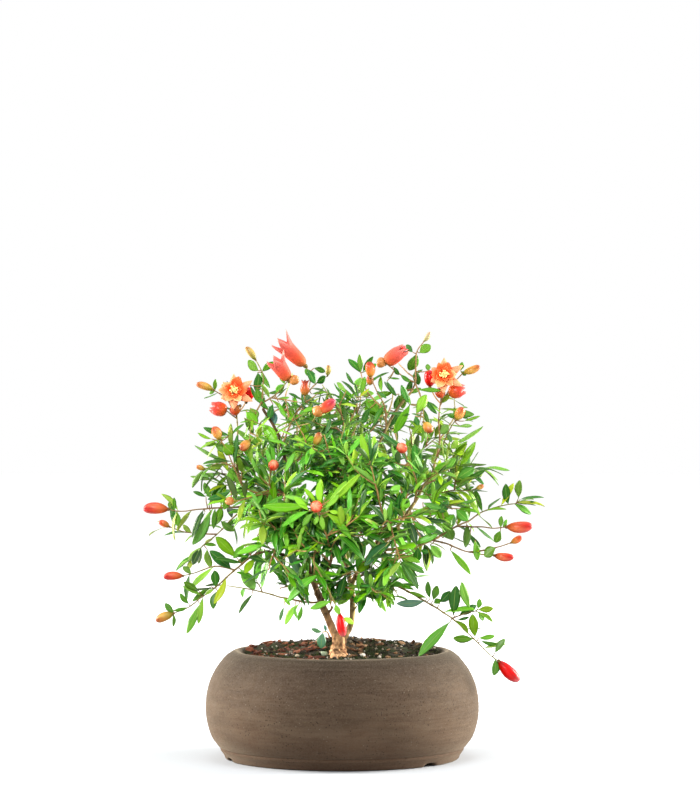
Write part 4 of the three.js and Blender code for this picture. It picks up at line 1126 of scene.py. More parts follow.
TWIG_TONES = [np.array(linear(*c, 0.66)) for c in ((154, 118, 70), (188, 148, 86), (152, 152, 74))]
TWIG_STEP = 1.6  # between the points of a twig's path
CROWN_HEIGHTS = [104, 120, 140, 168, 208, 249, 280, 294, 304, 312]
CROWN_REACH = [18, 44, 72, 95, 97, 99, 90, 76, 50, 12]
# Wood that shows in front of the leaves, and between which shares of its length.
SEEN_WOOD = [
    ("right_stem", 0.18, 0.96), ("right_lateral", 0.05, 1.0), ("left_stem", 0.10, 0.34),
    ("left_lateral", 0.3, 1.0), ("shoot_hanging_front", 0.05, 1.0), ("shoot_left_upper", 0.1, 0.9),
    ("shoot_right_lower", 0.0, 0.5), ("shoot_centre_left", 0.3, 1.0), ("shoot_centre_right", 0.2, 1.0),
    ("shoot_top_right", 0.1, 0.9), ("shoot_left_lower", 0.0, 0.4),
]
# Where blossoms come in the picture, how far they reach there, and their depth.
IN_SIGHT = [
    (155, 510, 14, -8), (174, 576, 11, -4), (164, 617, 11, -25), (229, 507, 7, -60), (217, 434, 8, -36),
    (219, 408, 10, 8), (234, 411, 8, 4), (233, 390, 19, 2), (247, 395, 8, 18), (204, 385, 11, 12),
    (251, 353, 11, 20), (244, 452, 9, -24), (277, 463, 11, -38), (320, 436, 9, -30), (325, 404, 13, -30),
    (316, 509, 9, -75), (316, 507, 24, -66), (343, 629, 14, -52), (509, 671, 18, -18), (520, 527, 15, -24),
    (502, 558, 11, -36), (399, 443, 10, -38), (432, 434, 8, -26), (459, 415, 9, -26), (457, 390, 10, 10),
    (444, 374, 19, 4), (473, 366, 11, 22), (441, 393, 8, 6), (430, 377, 9, 20), (370, 369, 9, -14),
    (287, 353, 22, 16), (283, 372, 14, -12), (295, 378, 7, -14), (305, 388, 9, -8), (394, 352, 14, -12),
    (381, 361, 7, -12), (428, 336, 11, 10), (480, 487, 8, -24), (516, 540, 8, -50), (159, 522, 9, 42),
    (196, 469, 8, -14),
]
# Leaves seen one by one from the front: where base and tip come in the picture, width there, and shade.
SEEN_LEAVES = """
173 512 175 498 3 mid, 171 509 169 502 3 light, 175 512 180 525 5 mid, 191.5 531.5 182 526 4 lime,
210 512 199 545 8 light, 205 512 197 526 2 mid, 209 504 225 486 8 dark, 231 491 211 503 5 dark,
211 498 204 484 5 mid, 206 497 194 491 3 dark, 221 505 218 525 7 mid, 216 508 212 528 4 mid,
205 546 216 544 3 mid, 207 549 207 567 6 light, 236 557 216 538 8 light, 233 568 211 552 8 dark,
226 525 240 521 4 mid, 192 574 183 567 5 light, 199 591 184 582 5 mid, 211.4 586.6 190 599.4 4 mid,
189 604 179 595.5 4 mid, 216 587 215 571 7 dark, 205 597 212.5 589 3 lime, 217.5 591 209.4 606.5 6 dark,
200 603.5 188.5 633 6 mid, 189 608.6 175 611.6 3 mid, 173 612.7 166 603.5 5 mid, 173.7 613.7 175 626 3 mid,
259 510 284 501 5 mid, 267.5 517 303 510 6 light, 272.6 537 303 532 6 light, 257 536 271.6 540 5 mid,
320 505 318 483 6 lime, 324.7 507.5 340 498 5 lime, 317.5 514.7 316 525 4 lime, 329 510.6 338 513.7 4 lime,
309 510.6 295 498 6 lime, 329 533 340 528 6 light, 285 542 300 579 8 blue, 264.5 549 274.7 567.8 6 mid,
263 551 250 577 5 dark, 255 558.6 243 572 6 lime, 240 569 255 588 9 light, 310 557 328 585 5 light,
295 523 312 541 8 blue, 318.6 575 283 592 9 mid, 284 597 291 604.5 3 mid, 299 604 281 620 6 light,
284 606.5 279 620 3 dark, 295 605.5 294 617.7 3 mid, 302 605.5 300 621 4 mid, 292 597 298.7 592.8 2.5 mid,
331 601 310.4 607.5 6 light, 342 618 354 622 5 lime, 336 604 338 614 5 light, 373 540 360 524 8 mid,
373 540 397 529 7 mid, 364.5 541 348 560.6 6 blue, 363 546 355 560 5 light, 369.6 559.6 360 572 8 light,
374.7 582 395 602 7 mid, 356 586 340 606.5 8 mid, 354 590 364.5 599 7 mid, 384 583 397 599 3 light,
387 553.5 410 586 7 mid, 388 559.6 395 575 3 dark, 399 550 415.5 576 3.5 dark, 398.6 530 400 543 6 dark,
418 547 418.6 562.6 7 dark, 430 545 440 557.5 8 light, 420.6 550 428 553 4 dark, 413.5 545 436 533 6 mid,
425 526 434 533 8 mid, 433 526 432 517 3 mid, 414.5 521 423.7 533 6 mid, 403 511 407 499 8 light,
416 493 419 480 6 dark, 421.6 496 437 484 6 dark, 422.7 502.5 440 510.6 5 mid, 410 514.7 424.7 510.6 3 mid,
397 487 413.5 493 6 mid, 423.7 602 398.7 607 6 blue, 427 598 411 593 3 light, 430 598 425 583 4.5 mid,
433 600 439 587 6 mid, 434 603.5 440 599 5 mid, 450 622 418 653 8 mid, 482.5 511 475.8 490 5 mid,
508.8 503.9 503 485.6 6 dark, 518.5 498 518 481 6 light, 520 499.6 541.7 492.6 2.5 dark,
513.7 505 532 513 5 mid, 466.7 523.5 469.5 546 6 light, 475 540 477 560 6 mid, 450 550 471.6 572.6 5 mid,
443 538 452 518 6 mid, 444 522 452 514 5 mid, 456 520 466 507 6 mid, 501.5 528 500.5 516.5 4 mid,
503 527.7 507.5 520 3 mid, 500.5 530.5 496 543 6 light, 496 548 483.7 554 8 light, 440 602 451 593 7 dark,
453.5 615 454 587 9 dark, 470 609.5 458 584.5 7 mid, 458 616 476.5 605 6 dark, 478 609 481 599.5 4 mid,
478 609.5 492.6 609 5 lime, 478.6 612 484 620 5 mid, 457 620 469 619 2.5 dark, 475 637 473 615.5 7.5 light,
473 640 454 639 6.5 mid, 478.6 638 494.7 638.6 4 mid, 480.7 640.7 497.5 647 3.5 mid,
494.7 653 503.5 638.6 5 light, 494.7 659.5 496 675 6.5 mid, 258.6 370.9 246.9 363 6.5 light,
262.9 370.9 272.1 361.6 5 mid, 257.9 372.3 260 391 7 dark, 260 370.9 265 388 4 mid, 256.4 388 259 404 8 mid,
285.7 383.7 279.3 373 5 light, 285 384 275 391.6 6 mid, 310 378 305 369.4 5 mid,
300 399.4 290.7 391.6 2.5 dark, 287 399.4 281.4 413.7 4 mid, 295 410.9 297 396.6 3.5 mid,
250 408 256 419 8 light, 268.6 409.4 257 399.4 5 dark, 305.7 409.4 298.6 416.6 5 mid,
215 389.4 214 380 3.5 mid, 215 389.4 209 393 2.5 mid, 412.9 352.3 406.4 344.9 5 dark,
419.3 353 429.3 344.4 7 light, 417.9 353.7 412 371 8 mid, 417 369.4 415.7 385 6.5 dark,
390 365 395.7 355 5 light, 393.6 366.6 398.6 375 4 dark, 402 373.7 409.3 382.3 4 dark,
410.7 376.6 422 369.4 2.5 dark, 387 380.9 393.6 396.6 4 dark, 387.9 378 399.3 378.7 2 dark,
392 392.3 377.9 396.6 5 mid, 416.4 413.7 425 395 9 light, 417.9 389.4 440 388.7 3.5 mid,
426.4 399.4 433.6 415 3.5 dark, 460.7 370.9 461.4 362.3 4 mid, 460.7 371.6 466.4 374.4 3 mid,
440 402.3 449.3 395 5 lime, 449.3 415 472.9 411.6 6 mid, 455 418 447.9 413.7 4 dark, 321 500 320 480 5 lime,
326 504 363 478 6 lime, 329 500 349 484 5 light, 330 511 372 515 8 light, 326 513 347 524 6 lime,
321 514 323 530 5 lime, 308 505 266 513 8 mid, 310 502 285 496 4 light, 313 513 301 524 5 light,
330 514 352 535 6 mid, 309 511 280 521 6 mid, 336 498 362 494 5 mid, 340 490 356 474 4 light,
316 502 306 488 4 light, 464 421 479 417.5 2.5 light, 459.5 425.5 471.5 427 3 light,
449.6 445 483 432.5 3 light, 441 434 448 425 7 light, 450.5 449 458.6 441.6 6 lime,
452.5 452.5 464 453.5 4 lime, 455 465 484 461.5 2.5 light, 455 480.5 472 466 9 mid,
459.5 481.5 486 473 4 dark, 453 484 462 480 6 lime, 462 488.5 474 487.5 2.5 dark,
438.7 488.5 436 471.5 3.5 dark, 415 493 389 471 9 dark, 389 494 400 487 8 light, 438 508 449 520 8 light,
447 524 449.5 540 9 light, 460 508.5 478.5 510 3 mid, 459.5 503 476 502 2.5 mid, 229 435.5 204 428.5 5 dark,
212 439 197.5 436 2.5 light, 219.5 443.5 205 444.5 3 light, 226.5 460.5 194 450.5 3 light,
404 390 401 408 7 blue, 410 404 395 433 8 mid, 415 416 418.5 425 5 dark, 428 371 428.5 364.5 4 mid,
250 385 255.5 401 3 dark, 267 393.5 283 392 3 dark, 271 410 277 423 7 blue, 262 424 277 440 10 mid,
283 410.5 297 415 5 mid, 293 425 312 421 7 mid, 312 394 325 391.5 3 mid, 306 369 316 382 7 dark,
316 382 326 378 6 dark, 314 368 325 371.5 5 dark, 362 373 351 358 6 dark, 362 372 359 355 5 mid,
363 372 370 356 5 dark, 364 372 375 363 5 mid, 399 394 398 409 6 dark, 276 399 289 399.5 3 mid,
225 444 233 454.5 9 light, 224 463 212 470.5 4 lime, 214 479.5 191.5 478.5 3 light, 228.5 471 232 482 6 mid,
409 404 400 386 6 dark, 411 405 404 388 4 mid, 362 396 362.5 377 6 mid, 364 415 377 402 7 mid,
360 407 372 399 5 mid, 364 388 377 374 2.5 mid, 273 404 268 418 6 dark, 279 402 283 418 4 mid,
246 411 257 424 8 mid, 244 418 256 431 5 blue, 298 436 310 424 7 mid, 300 440 314 436 6 mid,
305 411 318 410 5 mid, 486 512 505 505 2.5 light, 266 544 238 553 5 mid, 253 594 237 610 3.5 deep,
356 396 363 378 9 mid, 356 404 331 389 2 dark, 357 406 334 397 2 dark, 357 401 340 384 3 mid,
346 391 336 385 5 light, 355 386 345 374 3 dark, 357 411 331 413 5 mid, 360 396 373 391 6 mid,
368 402 389 394 4 mid, 366 398 376 412 10 mid, 382 392 378 378 4 mid, 394 394 387 381 4 blue,
372 381 386 370 2.5 dark, 348 403 336 399 3 dark, 316 408 303 411 4 mid, 363 407 383 413 8 mid,
370 408 360 421 6 dark, 340 414 322 421 4 mid, 345 420 330 428 4 dark, 385 405 372 421 5 dark,
352 416 341 429 5 mid, 300 415 286 421 5 mid, 402 412 388 424 6 dark, 456 509 467 521 8 mid,
470 534 478 548 4 dark, 378 390 386 398 3 dark, 405 392 414 383 5 dark, 409 394 421 388 4 mid,
434 470 447 462 5 mid, 446 470 455 458 4 mid, 449 500 440 512 7 dark, 228 452 214 447 4 mid,
222 470 208 462 4 dark, 232 497 222 508 6 mid, 221 521 232 533 6 mid, 245 545 232 556 5 mid,
250 552 240 562 4 dark
"""
# The same for the sprout on the trunk, without shades.
SPROUT_LEAVES = [(322, 632, 311.5, 630.5, 4.5), (323, 632.5, 319.5, 648, 9), (326, 632, 325, 625, 3)]
# Along a leaf: where its rows of points lie, and how wide it is there; and where they lie across it.
ALONG = np.array([0, 0.06, 0.16, 0.32, 0.5, 0.68, 0.84, 0.95, 1.0])
WIDTHS = np.array([0.09, 0.13, 0.42, 0.78, 1.0, 0.96, 0.68, 0.34, 0.04])
ACROSS = np.array([-1.0, -0.55, 0.0, 0.55, 1.0])


def leaf_faces():
    """Faces of a leaf: the top grid, and an underside that shares its edge, base and tip with it."""
    rows, cols = len(ALONG), len(ACROSS)

    def top(r, c):
        return r * cols + c

    def low(r, c):
        if r in (0, rows - 1) or c in (0, cols - 1):
            return top(r, c)
        return rows * cols + (r - 1) * (cols - 2) + (c - 1)

    faces = []
    for r in range(rows - 1):
        for c in range(cols - 1):
            faces.append((top(r, c), top(r + 1, c), top(r + 1, c + 1), top(r, c + 1)))
            faces.append((low(r, c), low(r, c + 1), low(r + 1, c + 1), low(r + 1, c)))
    return faces


LEAF_FACES = leaf_faces()


def add_leaf(shape, base, direction, up, length, width, colour, rng, bend, fold=None, twist=None):
    """A thin closed leaf that grows from base along a direction, with its upper side towards up."""
    direction = unit(direction)
    side = np.cross(direction, up)
    if np.linalg.norm(side) < 1e-3:
        side = np.cross(direction, (0.3, 0.5, 0.8))
    side = unit(side)
    upward = np.cross(side, direction)
    fold = rng.uniform(0.12, 0.5) if fold is None else fold
    twist = rng.uniform(-0.5, 0.5) if twist is None else twist
    sway = rng.uniform(-0.22, 0.22)
    t, a = ALONG[:, None], ACROSS[None, :]
    turn = bend * t
    ahead = length * (np.sin(turn) / bend if abs(bend) > 1e-3 else t)
    drop = -length * (1 - np.cos(turn)) / bend if abs(bend) > 1e-3 else 0 * t
    half = 0.5 * width * WIDTHS[:, None]
    ripple = 0.05 * width * np.sin(9 * t + rng.uniform(0, 6)) * a ** 2
    across = a * half * math.cos(fold)
    above = np.abs(a) * half * math.sin(fold) + ripple
    roll = twist * t
    s = across * np.cos(roll) - above * np.sin(roll) + sway * length * t ** 2
    n = across * np.sin(roll) + above * np.cos(roll)
    x = ahead + n * np.sin(turn)
    z = drop + n * np.cos(turn)
    middle = np.asarray(base, float) + x[..., None] * direction + s[..., None] * side + z[..., None] * upward
    thick = LEAF_HALF * (1 - np.abs(a)) * np.sin(np.pi * np.clip(t, 0.02, 0.98)) ** 0.5
    off = thick[..., None] * (np.cos(turn)[..., None] * upward + np.sin(turn)[..., None] * direction)
    spots = np.stack([t + 0 * a, a + 0 * t, 0 * t * a], axis=2)
    below = spots[1:-1, 1:-1].copy()
    below[..., 2] = 1
    spots = np.concatenate([spots.reshape(-1, 3), below.reshape(-1, 3)])
    points = [(middle + off).reshape(-1, 3), (middle - off)[1:-1, 1:-1].reshape(-1, 3)]
    shape.add(np.concatenate(points), LEAF_FACES, colour, spots)


def less_lit(point):
    """Leaves and twigs far out stand in the side lights, so their paint is darker."""
    out = clamp((abs(point[0]) - 45) / 50)
    high = clamp((point[2] - 255) / 40)
    return 1 - 0.42 * max(out, 0.8 * high)


def leaf_colour(kind, rng):
    tone = np.array(linear(*SHADES[kind], SHADE_DIM)) * rng.uniform(0.8, 1.25)
    tone[0] *= rng.uniform(0.9, 1.25)
    tone[2] *= rng.choice((0.15, 0.6, 1.0, 1.3, 1.8))
    return np.clip(tone, 0, 1)


def nearest(paths, point):
    everything = np.vstack(paths)
    return everything[np.argmin(np.linalg.norm(everything - np.asarray(point, float), axis=1))]


def joined(bearers, points):
    """A twig's path through points, the first of them moved onto what bears it."""
    return curve_through([nearest(bearers, points[0]), *points[1:]], TWIG_STEP)


def plan_shoot(name):
    """The paths of a shoot's twigs, and the shapes that its wood and leaves go into."""
    limbs = list(limb_paths.values())
    twigs = []
    for leafy, points in SHOOTS[name]:
        twigs.append((leafy, joined([path for _, path in twigs] or limbs, points)))
    twigs += [(0.15, joined(limbs, points)) for points in FILL_TWIGS.get(name, ())]
    return {"twigs": twigs, "wood": Shape(), "leaves": Shape()}


def find_seen_wood():
    """Points of the wood that shows: where they come in the picture, and their depth."""
    found = []
    for name, first, last in SEEN_WOOD:
        path = limb_paths[name] if name in limb_paths else shoots[name]["twigs"][0][1]
        found += [(*in_picture(p), p[1]) for p in path[int(first * len(path)):int(last * len(path))]]
    return np.array(found)


shoots = {name: plan_shoot(name) for name in SHOOTS}
twig_paths = [path for shoot in shoots.values() for _, path in shoot["twigs"]]
seen_wood = find_seen_wood()


def free_place(base, way, size):
    """Would a leaf here stay clear of the pot and the soil, and inside the part's outline?"""
    for share in (0.5, 1.0):
        p = base + way * size * share
        if p[2] < 94 and math.hypot(p[0], p[1]) < 112:
            return False
    return abs(p[0]) < 163 and abs(p[1]) < 112 and p[2] < 350


def hides_blossom(base, way, size):
    """Would a leaf come between the front and one of the blossoms?"""
    for share in (0.3, 0.65, 1.0):
        p = base + way * size * share
        u, v = in_picture(p)
        for at_u, at_v, reach, y in IN_SIGHT:
            if p[1] < y and math.hypot(u - at_u, v - at_v) < reach:
                return True
    return False


def hides_wood(base, way, size):
    """Would a leaf come between the front and the wood that shows?"""
    for share in (0.3, 0.5, 0.7, 0.9):
        p = base + way * size * share
        u, v = in_picture(p)
        near = np.hypot(seen_wood[:, 0] - u, seen_wood[:, 1] - v) < 3.6
        if np.any(near & (seen_wood[:, 2] > p[1] + 1.5)):
            return True
    return False


def hangs_low(tip):
    """Is a leaf's tip under the crown's lower edge, as it is seen from the front?"""
    edge = 121 + (0.9 * max(0, -tip[0] - 28) if tip[0] < 0 else 0.8 * max(0, tip[0] - 40))
    return abs(tip[0]) < 75 and tip[2] + 0.084 * tip[1] < edge


def in_crown(point):
    """Is a point inside the dense part of the crown?"""
    reach = np.interp(point[2], CROWN_HEIGHTS, CROWN_REACH, 0, 0)
    return reach > 0 and (point[0] / reach) ** 2 + (point[1] / (0.98 * reach)) ** 2 < 1


def across_of(direction, turn):
    """A direction square to another one, turned about it."""
    across = np.cross(direction, (0.02, 0.05, 1))
    if np.linalg.norm(across) < 0.1:
        across = np.cross(direction, (1, 0, 0))
    across = unit(across)
    return across * math.cos(turn) + np.cross(across, direction) * math.sin(turn)


def leaning(direction, lean, turn):
    return direction * math.cos(lean) + math.sin(lean) * across_of(direction, turn)


def grow_twig(shape, path, thin, rng, nodes=()):
    """A slightly crooked twig that swells a little where leaves grow on it."""
    share = np.linspace(0, 1, len(path))
    length = len(path) * TWIG_STEP
    radii = thin + (0.16 + 0.0042 * length) * (1 - share) ** 1.2
    for node in nodes:
        radii = radii * (1 + 0.32 * np.exp(-((share * length - node) / 0.9) ** 2))
    end = TWIG_TONES[1] if rng.random() < 0.6 else TWIG_TONES[2]
    tone = (TWIG_TONES[0] * (1 - share[:, None]) + end * share[:, None]) * less_lit(path[len(path) // 2])
    crooked = np.array([[lumpy(p, 0.11, 2.0), lumpy(p, 0.11, 5.0), lumpy(p, 0.11, 8.0)] for p in path])
    tube(shape, path + 0.5 * crooked * np.sin(np.pi * share)[:, None], radii, 7, tone)


def part_of_crown(base):
    outward = math.hypot(base[0], base[1]) + 0.5 * max(0, base[2] - 230)
    if base[2] > HIGH_OVER:
        return "high"
    return "inner" if outward < 45 else "middle" if outward < 85 else "outer"


def one_leaf(shape, base, way, size, rng):
    """A leaf where it has room and hides nothing that has to show; larger low down, smaller at the top."""
    if base[2] > STRAY_OVER:
        stray = np.array([rng.uniform(-0.6, 0.6), rng.uniform(-0.4, 0.4), rng.uniform(-0.95, 0.05)])
        way = unit(way + min(1.0, (base[2] - STRAY_OVER) / 20) * stray)
    if base[2] > NONE_OVER or not free_place(base, way, size) or hides_blossom(base, way, size):
        return
    if hangs_low(base + way * size) or hides_wood(base, way, size) and rng.random() < 0.85:
        return
    ratio = (0.20, 0.29)
    if base[2] < LARGE_UNDER:
        ratio, size = (0.23, 0.31), size * 1.08
    if base[2] > SMALL_OVER:
        ratio, size = (0.16, 0.24), size * 0.85
        if rng.random() < min(0.3, (base[2] - SMALL_OVER) / 90):
            return
    part = part_of_crown(base)
    kind = rng.choices(SHADE_NAMES, SHADE_MIX[part])[0]
    # Painted shade: leaves far out and high up, which the side lights catch, get darker and yellower paint.
    tone = leaf_colour(kind, rng) * ((1.3, 0.72, 1.05) if part in ("outer", "high") else (1.14, 0.96, 1.2))
    up = (rng.uniform(-0.45, 0.45), -0.4 + rng.uniform(-0.4, 0.4), 1)
    add_leaf(shape, base, way, up, size, size * rng.uniform(*ratio), tone, rng, rng.uniform(-0.25, 0.6))


def grow_leaves(shape, path, leafy, rng, spacing, density, sizes):
    """Pairs of leaves along a twig, each a quarter turn on, with small tufts at some and one at its end."""
    length = len(path) * TWIG_STEP
    along, _, _ = frames_along(path)
    nodes = []
    at = leafy * length + 2.5
    while at < length - 2:
        nodes.append(at)
        i = min(len(path) - 1, int(at / TWIG_STEP))
        quarter = len(nodes) % 2 * math.pi / 2
        count = 2 + (2 if rng.random() < 0.3 else 0) + (1 if rng.random() < 0.4 else 0)
        for m in range(count):
            if rng.random() > density:
                continue
            turn = quarter + m * math.pi + rng.uniform(-0.6, 0.6) if m < 2 else rng.uniform(0, 6.28)
            way = leaning(along[i], math.radians(rng.uniform(36, 72)), turn)
            way = unit(way + np.array([0, 0, 0.22 if density > 0.6 else 0.05]))
            size = rng.uniform(*sizes) * (1 if m < 2 else rng.uniform(0.5, 0.75))
            one_leaf(shape, path[i], way, size * (1 - 0.2 * (at / length) ** 3), rng)
        at += spacing * rng.uniform(0.75, 1.3)
    for _ in range(4 if leafy < 1 else 0):
        if rng.random() <= density + 0.15:
            way = leaning(along[-1], math.radians(rng.uniform(8, 48)), rng.uniform(0, 6.28))
            one_leaf(shape, path[-1], way, rng.uniform(0.5, 0.8) * sizes[1], rng)
    return nodes


def grow_twiglets(shoot, path, leafy, rng, spacing, chance):
    """Short side twigs that fill the crown."""
    length = len(path) * TWIG_STEP
    along, _, _ = frames_along(path)
    at = leafy * length + rng.uniform(3, 10)
    while at < length - 4:
        i = min(len(path) - 1, int(at / TWIG_STEP))
        at += spacing * rng.uniform(0.7, 1.4)
        if rng.random() > chance:
            continue
        way = leaning(along[i], math.radians(rng.uniform(38, 66)), rng.uniform(0, 6.28))
        reach = rng.uniform(15, 32)
        middle = path[i] + way * reach * 0.5 + np.array([0, 0, rng.uniform(-0.06, 0.12) * reach])
        end = path[i] + way * reach + np.array([0, 0, rng.uniform(-0.1, 0.4) * reach])
        if in_crown(end):
            side_twig = curve_through([path[i], middle, end], TWIG_STEP)
            nodes = grow_leaves(shoot["leaves"], side_twig, 0.12, rng, 6.0, 0.85, (15, 25))
            grow_twig(shoot["wood"], side_twig, 0.36, rng, nodes)


def grow_shoot(name, shoot, rng):
    """Leaves, twigs and side twigs; few leaves where the seen ones are placed one by one."""
    growth = OPEN_GROWTH if name in OPEN_SHOOTS else DENSE_GROWTH
    density = BARE_DENSITY if name in BARE_SHOOTS else growth["density"]
    for leafy, path in shoot["twigs"]:
        nodes = grow_leaves(shoot["leaves"], path, leafy, rng, growth["spacing"], density, growth["sizes"])
        grow_twig(shoot["wood"], path, 0.42, rng, nodes)
        if leafy < 1:
            grow_twiglets(shoot, path, leafy, rng, *growth["twiglets"])


def leaf_foot(u, v, places, rng):
    """Where a seen leaf begins, its depth and its shoot: on the nearest twig, or on a stalk from it."""

    def off_by(place):
        (at_u, at_v), point, _ = place
        return math.hypot(at_u - u, at_v - v) + 0.13 * point[1]

    (twig_u, twig_v), twig, shoot = min(places, key=off_by)
    off = math.hypot(twig_u - u, twig_v - v)
    if off <= 2:
        return twig, twig[1], shoot
    depth = twig[1] + rng.uniform(-0.25, 0.1) * off
    base = from_picture(u, v, depth)
    bow = (twig + base) / 2 + np.array([0, 0, -0.06 * off])
    grow_twig(shoot["wood"], curve_through([twig, bow, base], TWIG_STEP), 0.34, rng)
    return base, depth, shoot


def tilted_up(ahead, tilt):
    """The upper side of a leaf that faces the front, but for a tilt about its length."""
    square = unit(np.cross(ahead, np.array([0.0, -1.0, 0.1])))
    up = np.cross(square, ahead) * math.cos(tilt) + square * math.sin(tilt)
    return -up if up[1] > 0 else up


def place_seen_leaves(rng):
    """Puts each leaf of the list where it comes in the picture."""
    places = []
    for shoot in shoots.values():
        places += [(in_picture(p), p, shoot) for _, path in shoot["twigs"] for p in path[2:]]
    for row in SEEN_LEAVES.replace("\n", " ").split(","):
        *numbers, kind = row.split()
        u, v, tip_u, tip_v, wide = map(float, numbers)
        base, depth, shoot = leaf_foot(u, v, places, rng)
        reach = float(np.linalg.norm(from_picture(tip_u, tip_v, depth) - base))
        tip_depth = min(108, max(-108, depth + rng.uniform(-0.4, 0.35) * reach))
        way = from_picture(tip_u, tip_v, tip_depth) - base
        length = float(np.linalg.norm(way))
        apparent = wide * PIXEL * (1.12 if abs(base[0]) > 60 else 1)
        real = min(10.0, max(apparent * 1.28, 0.22 * length))
        up = tilted_up(way / length, math.acos(min(1, 1.2 * apparent / real)) * rng.choice([-1, 1]))
        in_front = clamp((-40 - base[1]) / 30)
        tone = leaf_colour(kind, rng) * less_lit(base) * (1.32, 1.0, 1.25)
        tone = tone * (1 - in_front * np.array([0.28, 0.16, 0.2]))
        add_leaf(shoot["leaves"], base, way, up, length * 1.04, real, tone, rng,
                 rng.uniform(-0.1, 0.35), rng.uniform(0.1, 0.3), rng.uniform(-0.2, 0.2))


def make_sprout(rng):
    """A small sprout with three leaves at the front of the trunk."""
    stem = curve_through([(-10, 0, 97), from_picture(327, 632, -5), from_picture(322, 632, -8)], TWIG_STEP)
    wood, leaves = Shape(), Shape()
    tube(wood, stem, np.linspace(0.8, 0.4, len(stem)), 7, TWIG_TONES[1])
    for u, v, tip_u, tip_v, wide in SPROUT_LEAVES:
        base = from_picture(u, v, -8)
        way = from_picture(tip_u, tip_v, -11) - base
        add_leaf(leaves, base, way, (0.1, -1, 0.3), float(np.linalg.norm(way)), wide * 0.85,
                 leaf_colour("blue", rng), rng, 0.3, 0.15, 0.0)
    wood.piece("trunk_sprout_stem", TWIG, "leaf")
    leaves.piece("trunk_sprout_leaves", LEAF, "leaf")


for index, (name, shoot) in enumerate(shoots.items()):
    grow_shoot(name, shoot, random.Random(100 + index))
place_seen_leaves(random.Random(9))
for name, shoot in shoots.items():
    short = name.removeprefix("shoot_")
    shoot["wood"].piece(f"twigs_{short}", TWIG, "leaf", [name])
    shoot["leaves"].piece(f"leaves_{short}", LEAF, "leaf", [name])
make_sprout(random.Random(3))

# ---------------------------------------------------------------- buds
# Colours of buds from the stalk's end to the tip.
RED = [(148, 74, 28), (226, 110, 38), (224, 86, 44), (218, 58, 42), (182, 36, 42)]
DEEP_RED = [(140, 20, 4), (236, 10, 0), (240, 0, 0), (236, 6, 6), (246, 150, 150)]
ORANGE = [(120, 122, 36), (222, 150, 44), (232, 122, 36), (226, 88, 30), (160, 48, 32)]
YELLOW = [(104, 136, 34), (176, 160, 48), (208, 166, 64), (208, 142, 62), (168, 84, 58)]
AMBER = [(130, 150, 44), (206, 168, 58), (224, 166, 74), (218, 134, 66), (186, 84, 54)]
EMBER = [(120, 120, 36), (206, 110, 40), (222, 92, 40), (212, 70, 34), (150, 46, 30)]
GREEN = [(96, 124, 36), (150, 158, 58), (176, 168, 78), (186, 168, 86), (168, 124, 70)]
PALE = [(130, 160, 80), (184, 196, 128), (206, 210, 156), (220, 212, 170), (206, 190, 150)]
PINK = [(192, 126, 42), (216, 104, 34), (214, 68, 38), (206, 58, 60), (186, 80, 112)]
# For buds seen end on; the pale tip is partly the bud's own pale centre and partly a painted highlight.
FACING = [
    (150, 130, 44), (222, 116, 44), (222, 76, 34), (208, 48, 30), (206, 52, 34), (226, 92, 58),
    (246, 176, 136)]
GOLD = [(120, 150, 50), (200, 186, 80), (224, 180, 96), (232, 150, 80), (236, 190, 120)]
OPENING = RED[1:4] + [(244, 120, 110)]
# name: (base, direction of growth, length, width, colours)
BUDS = {
    "bud_left_lowest": ((-134.6, -30, 119), (-1, 0, -0.42), 15.5, 7.5, YELLOW),
    "bud_left_lower_red": ((-128, -8, 147.6), (-1, 0, -0.05), 16, 7, RED),
    "bud_left_middle_red": ((-139.4, -13, 201.5), (-1, 0, 0.02), 20.5, 9.5, RED),
    "bud_left_upper": ((-97, -37, 258.3), (-0.5, -0.3, 0.9), 12, 8, AMBER),
    "bud_left_flower_red": ((-93, 6, 280), (-1, 0, 0.25), 14.5, 11.5, RED),
    "bud_left_top_yellow": ((-104, 10, 297), (-1, 0, 0.35), 15, 6.3, YELLOW),
    "bud_left_tip_green": ((-70, 18, 321), (-0.6, 0, 0.8), 13.5, 5.6, GREEN),
    "bud_left_inner_orange": ((-74, -24, 257), (-0.6, -0.4, -0.7), 11, 7.5, AMBER),
    "bud_centre_left_red": ((-56, -32, 235), (0.2, -0.9, 0.5), 11, 8.5, FACING),
    "bud_centre_yellow": ((-22, -32, 253), (0.35, -0.2, 0.9), 12, 6.4, YELLOW),
    "bud_top_left_red": ((-19.3, -34, 279.6), (0.82, -0.2, 0.62), 17.5, 9, PINK),
    "bud_front_centre": ((-20, -75, 206), (-0.05, -1, 0.15), 11, 9.5, FACING),
    "bud_hanging_front": ((-2, -55, 121), (0.18, -0.1, -1), 19, 7.8, DEEP_RED),
    "bud_right_lowest_red": ((125.7, -21, 80), (0.72, 0, -0.7), 23, 10, DEEP_RED),
    "bud_right_lower_red": ((131.4, -28, 188), (1, 0, 0.04), 21, 9.5, RED),
    "bud_right_drooping_red": ((121, -40, 166), (1, 0, -0.1), 16, 7, RED),
    "bud_centre_right_red": ((49, -34, 249), (-0.3, -0.9, 0.4), 11, 8.5, FACING),
    "bud_right_inner_orange": ((65.3, -22, 271.5), (0.6, -0.4, -0.7), 11, 7.5, AMBER),
    "bud_right_upper": ((91, -26, 273.6), (0.45, -0.3, 0.85), 12, 8, AMBER),
    "bud_right_flower_red": ((86, 8, 294.5), (1, 0, 0.25), 14.5, 11.5, RED),
    "bud_right_top_yellow": ((98, 20, 310.5), (1, 0, 0.4), 15, 6.3, YELLOW),
    "bud_top_right_orange": ((23, -18, 307.3), (-0.1, -0.1, 1), 13, 8, ORANGE),
}
